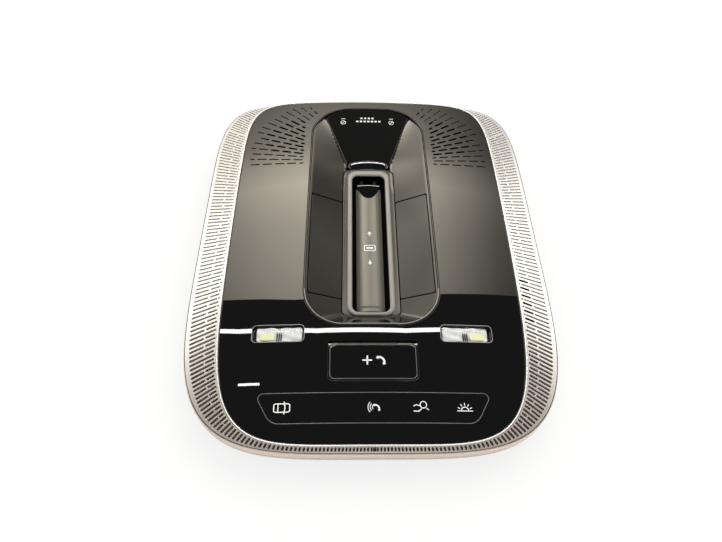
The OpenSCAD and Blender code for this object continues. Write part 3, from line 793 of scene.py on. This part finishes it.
def make_rim():
    profile = [(inward, RIM_LOW_Z + z) for inward, z in RIM_FOOT]
    profile += [(inward, RIM_TOP_Z + z) for inward, z in RIM_HEAD]
    loop = superellipse((RIM_HALF_W, RIM_HALF_L), RIM_N, OUTLINE_STEP)
    band = Shape()
    rows = []
    for inward, z in profile:
        moved, side = offset_loop(loop, inward)
        rows.append(band.add(at_height(moved, z), at_height(side, 0)))
    for a, b in zip(rows, rows[1:]):
        band.strip(a, b)
    mesh = bpy.data.meshes.new("rim_band")
    mesh.from_pydata((np.vstack(band.points) * MM).tolist(), [], band.faces)
    mesh.shade_smooth()
    mesh.set_sharp_from_angle(angle=math.radians(40))
    dress(mesh, "rim_band", "rim", "console", "outer_rim")
    joint = superellipse(RING_OUT, RIM_N, OUTLINE_STEP, -JOINT_IN)
    shape = ridge(joint, 0.7, 0.08, lambda x, y: RING_EDGE_Z + 0 * x)
    shape.build("rim_joint", "joint", "black_plastic")


def lens_outline(side):
    centre = (side * sum(LENS_X) / 2, sum(LENS_Y) / 2)
    return resample(rounded_rect(LENS_X[1] - LENS_X[0], LENS_Y[1] - LENS_Y[0], 0.4, centre, 3), 1.5)


def display_outline(grow=0.0):
    """Trapezoid from the recess's upper edge down to a lip in front of the switch."""
    right = [(15.3, LIP_Y[0] - grow), (DISPLAY_LOW[0] + grow, LIP_Y[0] + 1.4),
             (DISPLAY_LOW[0] + grow, DISPLAY_LOW[1] - 0.6), (DISPLAY_HIGH[0] + grow, DISPLAY_HIGH[1])]
    corner = (RECESS_HALF_W - RECESS_R[1], RECESS_Y[1] - RECESS_R[1])
    reach_r = RECESS_R[1] - 0.6 + grow
    for x in np.linspace(DISPLAY_HIGH[0] + 0.4 + grow, corner[0], 12):
        right.append((x, corner[1] + math.sqrt(reach_r ** 2 - (x - corner[0]) ** 2)))
    left = [(-x, y) for x, y in reversed(right)]
    return resample(np.array(right + left), 0.8)


def seam_outline(grow=0.0, notched=False):
    """Edge of the flat strip round the switch, with room for the lenses beside it if notched."""
    half, low_y, top_y, r = 19.25 + grow, -58.0 - grow, 72.4 + grow, 9.0 + grow
    low_lens, high_lens, side_lens = LENS_Y[0] - 0.8, LENS_Y[1] + 1.1, LENS_X[1] + 0.6
    lens = [(half, low_lens), (side_lens, low_lens), (side_lens, high_lens), (half, high_lens)]
    right = [(half - 1.5, low_y), (half, low_y + 1.5)] + (lens if notched else [])
    right += arc(half - r, top_y - r, r, 0, 90, 12)
    left = [(-x, y) for x, y in reversed(right)]
    return resample(np.array(right + left), 0.8)


def well_outline(grow=0.0):
    return resample(rounded_rect(28.4 + grow, 124.9 + grow, 5, (0, 4.05)), 1.5)


def make_trough():
    shape = Shape()
    outer = recess_outline(-0.05)
    display_hole = display_outline(0.12)
    display_hole[:, 1] = np.maximum(display_hole[:, 1], 74.4)
    holes = [seam_outline(0.35, True), resample(display_hole, 0.8)]
    fill(shape, outer, holes, recess_z, 1.3)
    walls(shape, holes, recess_z, 1.2)
    side = at_height(left_of(outer), 0)
    level = recess_z(*outer.T)
    top = np.maximum(panel_z(*outer.T) - 0.6, level)
    shape.strip(shape.add(at_height(outer, top), side), shape.add(at_height(outer, level - 0.8), side))
    shape.build("recess_body", "trough", "trough_gloss", node="trough")
    shape = Shape()
    strip, well = seam_outline(-0.4), well_outline(0.4)
    fill(shape, strip, [well], recess_z, 2.0)
    edge(shape, strip, recess_z, -1, 0.0, 1.2, 1)
    shape.build("switch_frame", "strip", "bezel_satin")
    # Painted shade: a near-black skin under the recess, with walls round the switch pocket, gives the gaps
    # their dark depth.
    shape = Shape()
    fill(shape, recess_outline(-0.3), [well], below(recess_z, 2.6), 3.0)
    pocket = resample(rounded_rect(25.0, 121.9, 4.7, (0, 3.15), 10), 1.0)
    walls(shape, [pocket], lambda x, y: BEZEL_Z + 0 * x, 6.0)
    shape.build("recess_under_skin", "void", "black_plastic")


def make_lenses():
    for side, name in SIDES:
        shape = plate(lens_outline(side), below(recess_z, -0.02), 2.5, 0.15, 1.4)
        shape.build("smoked_lens_" + name, "lens", "smoked_lens", node="reading_lens_" + name)


def fall(past, places, slopes):
    """How far a profile has dropped, past its start, where its slope is given at some places."""
    fine = np.arange(0, places[-1] + 0.025, 0.05)
    slope = np.interp(fine, places, slopes)
    drops = np.concatenate([[0], np.cumsum((slope[1:] + slope[:-1]) / 2 * np.diff(fine))])
    return np.interp(np.clip(past, 0, places[-1]), fine, drops)


def display_z(x, y):
    """The display's glass: a flat ramp, then a narrow bevel along a curved lip and a steep face."""
    bow = LIP_BOW * x * x + 0.6 * np.maximum(np.abs(x) - 12.5, 0) ** 2
    past = np.clip(LIP_Y[1] - bow - y, 0, LIP_PLACES[-1])
    crest = FLOOR_Z + RAMP_STEP + 0.08 + RAMP_SLOPE * (np.maximum(y + past, LIP_Y[1]) - LIP_Y[1])
    level = np.maximum(crest - fall(past, LIP_PLACES, LIP_SLOPES), FLOOR_Z + 0.1)
    return np.minimum(level, panel_z(x, y) - 0.45)


def make_display():
    shape = plate(display_outline(), display_z, 0.8, 0.2, 2.2)
    shape.build("display_glass", "piano", "piano_black", node="display_window")


def make_bezel():
    outer = resample(rounded_rect(31.6, 127.5, 7.0, (0, 5.15), 10), 1.0)
    inner = resample(rounded_rect(24.8, 120.3, 4.6, (0, 3.85), 10), 1.0)
    where = np.linspace(0, len(inner), len(outer), endpoint=False)
    closed = np.vstack([inner, inner[:1]])
    inner = np.column_stack([np.interp(where, np.arange(len(closed)), closed[:, k]) for k in (0, 1)])
    rings = [at_height(outer, FLOOR_Z + 0.05)]
    for k in range(9):
        t = math.pi * k / 8
        s = 0.5 - 0.5 * math.cos(t)
        rings.append(at_height(outer * (1 - s) + inner * s, BEZEL_Z + BEZEL_RISE * math.sin(t) ** 0.7))
    rings.append(at_height(inner, FLOOR_Z + 0.2))
    shape = sweep(rings)
    shape.build("switch_surround", "bezel", "bezel_satin", node="switch_bezel")


def bar_z(x, y):
    """Crowned bar whose flanks fall away, with a soft step near its lower end."""
    flank = np.clip((np.abs(x) - 5.0) / 4.1, 0, 1)
    level = BAR_TOP_Z - x * x / 60 - 1.7 * flank ** 1.8
    step = np.clip((-50.2 - y) / 1.2, 0, 1)
    return level - 0.35 * step * step * (3 - 2 * step)


def notch_y(x):
    """Edge of the notch that holds the glossy nose."""
    return 43.2 + 10.6 * abs(x / NOTCH_HALF_W) ** 2.2


def bar_outline():
    """The bar seen from above, with its notch."""
    half, r = BAR_HALF_W, BAR_R
    points = []
    for cx, first in ((-half + r, 180), (half - r, 270)):
        points += arc(cx, BAR_LOW_Y + r, r, first, first + 90, 7)
    points += [(half, 53.6), (half - 0.3, 54.0)]
    points += [(x, notch_y(x)) for x in NOTCH_HALF_W * (1 - np.arange(25) / 12)]
    points += [(-half + 0.3, 54.0), (-half, 53.6)]
    return resample(np.array(points), 0.6)


def make_bar():
    shape = plate(bar_outline(), bar_z, 0.9, 0.3, 4.0)
    shape.build("sliding_bar", "bar", "bar_satin", "switch", "roof_switch")


def nose_z(x, y):
    """Dark glossy scoop: deep at its tip, rising to the bar's upper edge."""
    return NOSE_TOP_Z - fall(NOSE_TOP_Y - y, NOSE_PLACES, NOSE_SLOPES) - x * x / 110


def make_nose():
    right = [(8.9, 54.2), (8.6, 56.2), (6.9, NOSE_TOP_Y)]
    points = right + [(-x, y) for x, y in reversed(right)]
    points += [(x, notch_y(x) + NOSE_GAP) for x in NOTCH_HALF_W * (np.arange(1, 24) / 12 - 1)]
    shape = plate(resample(np.array(points), 0.6), nose_z, 0.6, 0.1, 1.2)
    shape.build("bar_nose", "piano", "piano_black", "switch", "switch_nose")


def hinge_drop(y):
    """How far the cover's skin falls round its hinge barrel."""
    over = np.clip(y - COVER_HINGE_Y, 0, COVER_BARREL_R)
    return COVER_BARREL_R - np.sqrt(np.maximum(COVER_BARREL_R ** 2 - over ** 2, 0))


def cover_z(x, y):
    """The cover's face, with a soft bevel all round."""
    qx = np.abs(x) - COVER_SIZE[0] / 2 + COVER_R
    qy = np.abs(y - COVER_Y) - COVER_SIZE[1] / 2 + COVER_R
    beyond = np.hypot(np.maximum(qx, 0), np.maximum(qy, 0)) + np.minimum(np.maximum(qx, qy), 0)
    bevel = COVER_BEVEL[1] * np.clip(1 - (COVER_R - beyond) / COVER_BEVEL[0], 0, 1) ** 2
    return panel_z(x, y) - 0.04 - np.maximum(bevel, hinge_drop(y))


def cover_under_z(x, y):
    return panel_z(x, y) - 2 * COVER_BARREL_R + hinge_drop(y)


def make_cover():
    shape = Shape()
    outer = cover_outline()
    fill(shape, offset_loop(outer, 0.3)[0], [], cover_z, 1.0)
    fill(shape, outer, [], cover_under_z, 3.0)
    edge(shape, outer, cover_z, -1, 0.3, lambda x, y: np.minimum(cover_under_z(x, y), cover_z(x, y) - 0.1))
    shape.build("cover_skin", "piano", "piano_black", "cover", "emergency_cover")
    # Painted highlight: the grey line inside the cover's edge stands in for light caught on its bevel.
    shape = ridge(cover_outline(-0.9), 0.5, 0.12, cover_z)
    shape.build("cover_line", "groove", "piano_black", "cover")


def make_lamp(side, name):
    """Clear window over a dark well with a white reflector, a yellow LED patch and light guide ribs."""
    def wavy(x, y):
        across = 0.5 * np.cos(0.7 * (x - side * LAMP_X))
        along = 0.35 * np.cos(1.1 * y + 0.4 * x)
        return panel_z(x, y) - 2.2 - across - along

    glass = plate(lamp_outline(side), below(panel_z, 0.2), 2.5, 0.3, 1.2)
    glass.build("lamp_glass_" + name, "clear", "clear_window", node="lamp_lens_" + name)
    well = Shape()
    outline = resample(lamp_outline(side, 0.1), 1.2)
    fill(well, outline, [], below(panel_z, 4.2), 2.5)
    walls(well, [outline], below(panel_z, 0.9), 3.4)
    well.build("lamp_well_" + name, "black", "black_plastic")
    outline = resample(rounded_rect(28.4, 9.2, 1.6, (side * (LAMP_X - 0.8), LAMP_Y + 0.1)), 1.0)
    tray = plate(outline, wavy, 1.2, 0.4, 1.0)
    tray.build("lamp_tray_" + name, "white", "white_reflector")
    outline = resample(rounded_rect(9.2, 4.6, 1.4, (side * (LAMP_X + 6.6), LAMP_Y - 1.5)), 0.8)
    patch = plate(outline, below(panel_z, 1.5), 1.5, 0.3, 0.6)
    patch.build("lamp_patch_" + name, "led", "led_yellow")
    for k in range(3):
        outline = rounded_rect(0.55, 5.8, 0.2, (side * (LAMP_X - 1.9 + 1.25 * k), LAMP_Y - 2.1), 3)
        rib = plate(outline, below(panel_z, 1.3), 2.0, 0.1, 1.2)
        rib.build(f"lamp_rib_{name}_{k}", "frame", "frame_plastic")
    # Painted highlight: a grey ridge round the lamp window stands in for the light caught on the opening's
    # edge.
    line = ridge(lamp_outline(side, 0.3), 0.32, 0.12, panel_z)
    line.build("lamp_line_" + name, "edge", "chrome_bead")


def touch_outline():
    """The shallow line round the touch strip: straight sides and slanted rounded ends."""
    right = arc(64.5, -116, 3, 90, -29, 8) + arc(54.5, -121.7, 8.8, -29, -90, 8)
    left = [(-x, y) for x, y in reversed(right)]
    return right + left


def make_lines():
    # Painted highlight: the grey line round the touch strip stands in for light caught on its crease.
    shape = ridge(touch_outline(), 0.5, 0.14, panel_z)
    shape.build("touch_line", "groove", "piano_black")


def dense(points, closed, step=0.7):
    """The path with extra points, so that no part of it is longer than a step."""
    points = [np.array(p, float) for p in points]
    pairs = list(zip(points, points[1:] + points[:1])) if closed else list(zip(points, points[1:]))
    path = []
    for a, b in pairs:
        count = max(1, int(math.ceil(np.hypot(*(b - a)) / step)))
        path += [a + (b - a) * i / count for i in range(count)]
    return np.array(path if closed else path + [points[-1]])


def ridge(points, width, rise, height, closed=True):
    """A fine rounded line, proud of a height field."""
    shape = Shape()
    path = dense(points, closed, 1.5)
    side = left_of(path, closed)
    rows = []
    for k in range(7):
        turn = math.pi * k / 6
        place = math.cos(turn)
        xy = path + side * place * width / 2
        z = height(*xy.T) + rise * math.sin(turn) - 0.02
        normal = slope_normals(xy, height) * math.sin(turn)
        normal[:, :2] += side * place
        rows.append(shape.add(at_height(xy, z), normal))
    for a, b in zip(rows, rows[1:]):
        shape.strip(a, b, closed)
    return shape


# Printed marks
def stroke(shape, points, width, height, closed=False):
    """A flat ribbon along some points, laid on a height field."""
    path = dense(points, closed)
    side = left_of(path, closed) * width / 2
    rows = [shape.drape(path + way * side, height, INK_RISE) for way in (1, -1)]
    shape.strip(*rows, closed)


def handset(shape, cx, cy, size, height, turn=0):
    """A telephone handset: a bent grip with a pad at each end."""
    c, s = math.cos(math.radians(turn)), math.sin(math.radians(turn))
    grip = (arc(0.55, 0.55, 0.85, 180, 270, 10), 0.3)
    pads = [([(-0.42, 0.62), (-0.05, 0.78)], 0.36), ([(0.62, -0.42), (0.78, -0.05)], 0.36)]
    for points, width in [grip] + pads:
        placed = [(cx + size * (x * c - y * s), cy + size * (x * s + y * c)) for x, y in points]
        stroke(shape, placed, size * width, height)


def mark_car(shape, x, y, height):
    """A car from above with a bar across it."""
    stroke(shape, [(x + 4.6, y - 1.8), (x + 4.6, y + 1.8), (x + 3.6, y + 2.4), (x - 3.4, y + 2.4),
                   (x - 4.6, y + 2.0), (x - 4.6, y - 2.0), (x - 3.4, y - 2.4), (x + 3.6, y - 2.4)],
           0.62, height, True)
    stroke(shape, [(x + 1.3, y + 3.6), (x + 1.9, y), (x + 1.3, y - 3.6)], 0.6, height)
    stroke(shape, [(x - 2.2, y + 2.2), (x - 2.2, y - 2.2)], 0.6, height)


def mark_call(shape, x, y, height):
    handset(shape, x + 2.8, y + 0.4, 2.9, height, 180)
    for k in range(3):
        stroke(shape, arc(x + 1.2, y, 1.6 + 1.25 * k, 135, 225, 8), 0.42, height)


def mark_hand_lamp(shape, x, y, height):
    stroke(shape, arc(x + 1.6, y + 1.4, 1.9, 0, 345, 18), 0.5, height, True)
    stroke(shape, [(x + 0.6, y - 0.8), (x - 1.2, y - 2.4), (x - 4.2, y - 2.2)], 0.55, height)
    stroke(shape, [(x - 0.4, y + 0.8), (x - 2.6, y + 1.4), (x - 4.2, y + 0.6)], 0.55, height)
    stroke(shape, [(x + 3.4, y - 0.6), (x + 4.6, y - 1.6)], 0.5, height)


def mark_sun_lamp(shape, x, y, height):
    stroke(shape, [(x - 4.6, y - 1.9), (x + 4.6, y - 1.9)], 0.5, height)
    stroke(shape, arc(x, y - 1.9, 2.2, 0, 180, 12), 0.55, height)
    for degrees in (25, 57.5, 90, 122.5, 155):
        a = math.radians(degrees)
        points = [(x + r * math.cos(a), y - 1.9 + r * math.sin(a)) for r in (3.1, 4.6)]
        stroke(shape, points, 0.5, height)


def make_marks():
    touch = Shape()
    mark_car(touch, -53.2, TOUCH_Y, panel_z)
    mark_call(touch, -0.6, TOUCH_Y, panel_z)
    mark_hand_lamp(touch, 27.0, TOUCH_Y, panel_z)
    mark_sun_lamp(touch, 52.8, TOUCH_Y, panel_z)
    touch.build("touch_marks", "print", "white_reflector")
    cover = Shape()
    handset(cover, 5.6, -92.6, 4.0, panel_z, 180)
    stroke(cover, [(-6.4, -93.4), (-0.6, -93.4)], 0.9, panel_z)
    stroke(cover, [(-3.5, -90.6), (-3.5, -96.2)], 0.9, panel_z)
    cover.build("cover_marks", "print", "white_reflector", "cover")
    bar = Shape()
    for y, way in ((9.3, 1), (-15.6, -1)):
        stroke(bar, [(0, y - way * 1.9), (0, y + way * 0.4)], 0.9, bar_z)
        tip = np.array([(-1.6, y), (1.6, y), (0, y + way * 2.1)])
        bar.face(*bar.drape(tip, bar_z, 0.12))
    outline = rounded_rect(7.6, 4.6, 0.7, (0, -3.2), 3)
    stroke(bar, outline, 0.6, bar_z, True)
    stroke(bar, [(-2.4, -3.2), (2.4, -3.2)], 1.3, bar_z)
    bar.build("bar_marks", "print", "white_reflector", "switch")
    sign = Shape()
    for x in range(-9, 10, 3):
        stroke(sign, [(x, 119.5), (x + 1.8, 119.5)], 1.5, display_z)
    for x in range(-5, 6, 3):
        stroke(sign, [(x - 0.4, 122.9), (x + 1.2, 122.9)], 1.5, display_z)
    for side in (1, -1):
        stroke(sign, arc(side * 19.5, 118.2, 1.9, 0, 345, 18), 0.45, display_z, True)
        stroke(sign, [(side * 19.5 - 1.3, 116.9), (side * 19.5 + 1.3, 119.5)], 0.45, display_z)
        stroke(sign, [(side * 19.5 - 1.6, 122.3), (side * 19.5 + 1.6, 122.3)], 0.5, display_z)
    sign.build("display_marks", "print", "white_reflector")


def dress_nodes():
    """Gives the solids that stay in view, and the ones inside, their materials."""
    looks = {
        "rear_housing": "housing", "carrier_frame": "frame", "indicator_board": "board",
        # The switch well and the microswitches wear the void material: painted shade for the dark gap round
        # the sliding bar.
        "switch_well": "void", "switch_carriage": "frame", "guide_rods": "frame",
        "microswitch_front": "void", "microswitch_rear": "void", "emergency_button": "red",
        "emergency_pocket": "black", "emergency_hinge_pin": "steel", "touch_sensor_film": "film",
        "main_board": "board", "main_connector": "black", "microphone": "black",
        "housing_screws": "steel", "retaining_clips": "steel",
    }
    pairs = {"reading_lamp": "white", "lamp_reflector": "white", "lamp_led": "board",
             "speaker_frame": "black", "speaker_cone": "frame", "speaker_magnet": "steel"}
    for _, side_name in SIDES:
        looks.update({f"{name}_{side_name}": look for name, look in pairs.items()})
    for name, look in looks.items():
        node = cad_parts[name]
        node.data.materials.clear()
        node.data.materials.append(MATS[look])


def mix_into(mat, share, first, second, out):
    """Ends a material in two shaders: a share of the second, the rest of the first."""
    mix = add_node(mat, "MixShader")
    for value, socket in zip((share, first.outputs[0], second.outputs[0]), mix.inputs):
        join(mat, value, socket)
    join(mat, mix.outputs[0], out.inputs["Surface"])


def glow(name, colour, strength):
    """A material that shines in reflections only, and is clear for every other ray."""
    mat = bpy.data.materials.new(name)
    mat.use_nodes = True
    mat.node_tree.nodes.clear()
    shine = add_node(mat, "Emission", Color=(*colour, 1), Strength=strength)
    is_glossy = add_node(mat, "LightPath").outputs["Is Glossy Ray"]
    mix_into(mat, is_glossy, add_node(mat, "BsdfTransparent"), shine, add_node(mat, "OutputMaterial"))
    return mat, shine


# Studio
def card(name, corners, mat):
    """A flat part of the studio given by its corners in metres."""
    mesh = bpy.data.meshes.new(name)
    mesh.from_pydata(corners, [], [tuple(range(len(corners)))])
    piece = new_object(name, mesh)
    mesh.materials.append(mat)


def maths(mat, operation, first, second):
    node = add_node(mat, "Math")
    node.operation = operation
    for socket, value in zip(node.inputs, (first, second)):
        if isinstance(value, (int, float)):
            socket.default_value = value
        else:
            join(mat, value, socket)
    return node.outputs[0]


def curve(mat, value, low, high, stops):
    """A smooth function of a value, given by (value, result) stops between low and high."""
    node = add_node(mat, "ValToRGB")
    ramp = node.color_ramp
    for k, (place, level) in enumerate(stops):
        where = (place - low) / (high - low)
        if k in (0, len(stops) - 1):
            element = ramp.elements[0 if k == 0 else -1]
            element.position = where
        else:
            element = ramp.elements.new(where)
        element.color = (level, level, level, 1)
    join(mat, spread(mat, value, 0, 1, low, high), node.inputs["Fac"])
    return node.outputs["Color"]


FLOOR_HALF = 6.0
WORLD_IN_GLOSS = 0.11
CEILING_Z = 2.2
CEILING_LEVEL = 30
STRIP_LIGHT = ((-1.12, 0.76), (-0.9, 0.73), (-0.3, 0.69), (0.35, 0.69), (0.95, 0.74))
SHORT_LIGHT = ((-0.86, 0.334), (-0.7, 0.328))
WALL_Y = 1.2
WALL_TOP = 2.74
WALL_EDGE = ((2.6, 2.2), (1.28, 2.46), (0.74, 2.59), (0.3, 2.67), (-0.3, 2.74), (-0.6, 2.74), (-0.86, 2.67),
             (-1.16, 2.6), (-2.6, 2.2))
WALL_LEVEL = 9.8
ACROSS = ((-0.8, 0.3), (-0.5, 0.66), (-0.41, 0.79), (-0.32, 0.89), (-0.25, 0.96), (-0.1, 1.0), (0.1, 0.93),
          (0.25, 0.8), (0.37, 0.62), (0.46, 0.46), (0.55, 0.32), (0.64, 0.2), (0.8, 0.1))
UPWARD = ((0.0, 0.1), (0.5, 0.14), (0.63, 0.24), (0.85, 0.44), (1.0, 0.78), (1.15, 1.0), (1.58, 0.8),
          (2.1, 0.7), (2.74, 0.58))


def wall_card():
    """Pale wall on the windscreen side: its top edge ends the grey reflection in the panel."""
    mat, shine = glow("wall_glow", (1.0, 0.92, 0.76), WALL_LEVEL)
    place = axes(mat)
    spread_z = maths(mat, "ADD", maths(mat, "MULTIPLY", place["Z"], 0.62), 0.45)
    turn = maths(mat, "DIVIDE", place["X"], spread_z)
    across = curve(mat, turn, -0.8, 0.8, ACROSS)
    upward = curve(mat, place["Z"], 0.0, WALL_TOP, UPWARD)
    level = maths(mat, "MULTIPLY", maths(mat, "MULTIPLY", across, upward), WALL_LEVEL)
    join(mat, level, shine.inputs["Strength"])
    shade, _ = glow("shade", (1, 0.95, 0.9), 0.15)
    corners = ((-0.1, 1.0), (0.19, 1.0), (0.3, 2.1), (-0.15, 2.1))
    card("dark_doorway", [(x, WALL_Y - 0.02, z) for x, z in corners], shade)
    outline = [(-2.6, 0), (2.6, 0)] + list(WALL_EDGE)
    card("pale_wall", [(x, WALL_Y, z) for x, z in outline], mat)


def ceiling_light(name, stops, width):
    """A thin lamp overhead, bent along (x, y) stops."""
    mat, _ = glow(name, (1, 1, 0.98), CEILING_LEVEL)
    half = width / 2
    for k, ((x0, y0), (x1, y1)) in enumerate(zip(stops, stops[1:])):
        corners = ((x0, y0 - half), (x1, y1 - half), (x1, y1 + half), (x0, y0 + half))
        card(f"{name}_{k}", [(x, y, CEILING_Z) for x, y in corners], mat)


def floor_white():
    """White floor: part of its brightness is its own, so that the shadow on it stays light."""
    mat = material("floor_white", (0.86, 0.86, 0.85), 0.9)
    nodes = mat.node_tree.nodes
    shine = add_node(mat, "Emission", Color=(1, 1, 1, 1))
    share = maths(mat, "MULTIPLY", add_node(mat, "LightPath").outputs["Is Camera Ray"], 0.75)
    mix_into(mat, share, nodes["Principled BSDF"], shine, nodes["Material Output"])
    return mat


def make_studio():
    s = FLOOR_HALF
    card("floor", [(-s, -s, 0), (s, -s, 0), (s, s, 0), (-s, s, 0)], floor_white())
    wall_card()
    ceiling_light("strip_light", STRIP_LIGHT, 0.032)
    ceiling_light("short_light", SHORT_LIGHT, 0.016)
    for side in (1, -1):
        side_mat, _ = glow("side_glow", (1, 0.97, 0.92), 2.4)
        x = side * 1.2
        card("side_wall", [(x, 0.0, 0.1), (x, 1.15, 0.1), (x, 1.15, 1.0), (x, 0.0, 1.0)], side_mat)
    world = bpy.data.worlds.new("studio")
    bpy.context.scene.world = world
    world.use_nodes = True
    is_glossy = add_node(world, "LightPath").outputs["Is Glossy Ray"]
    level = spread(world, is_glossy, 1.0, WORLD_IN_GLOSS, 0, 1)
    back = world.node_tree.nodes["Background"]
    join(world, level, back.inputs["Strength"])
    set_sockets(back, Color=(1, 1, 1, 1))
    light = bpy.data.lights.new("key", "AREA")
    light.shape = "RECTANGLE"
    light.size, light.size_y = 1.6, 1.0
    light.energy = 14
    light.color = (1, 0.97, 0.93)
    lamp = new_object("key", light)
    lamp.visible_glossy = False
    lamp.location = (0.5, 0.9, 1.6)
    lamp.rotation_euler = (-lamp.location).to_track_quat("-Z", "Y").to_euler()


CAMERA_PLACE = (-15.8, -236.3, 343.5)
CAMERA_TURNS = ((-2.53, "Z"), (33.93, "X"), (2.33, "Z"))


def make_camera():
    """The photograph's viewpoint: 34 degrees off the vertical, from the touch strip's side."""
    data = bpy.data.cameras.new("camera")
    data.sensor_width = 36
    data.lens = 27.92
    data.clip_start = 0.01
    camera = new_object("camera", data)
    place = Matrix.Translation(Vector(CAMERA_PLACE) * MM)
    for degrees, axis in CAMERA_TURNS:
        place = place @ Matrix.Rotation(math.radians(degrees), 4, axis)
    camera.matrix_world = place
    bpy.context.scene.camera = camera


make_camera()
make_studio()
dress_nodes()
make_panel()
make_slot_floor()
make_ring()
make_open_slots()
make_cloth()
make_bead()
make_trough_trim()
make_rim()
make_trough()
make_lenses()
make_display()
make_bezel()
make_bar()
make_nose()
make_cover()
for lamp_side, lamp_name in SIDES:
    make_lamp(lamp_side, lamp_name)
make_lines()
make_marks()

bpy.context.scene.view_settings.view_transform = "Standard"
bpy.context.view_layer.update()
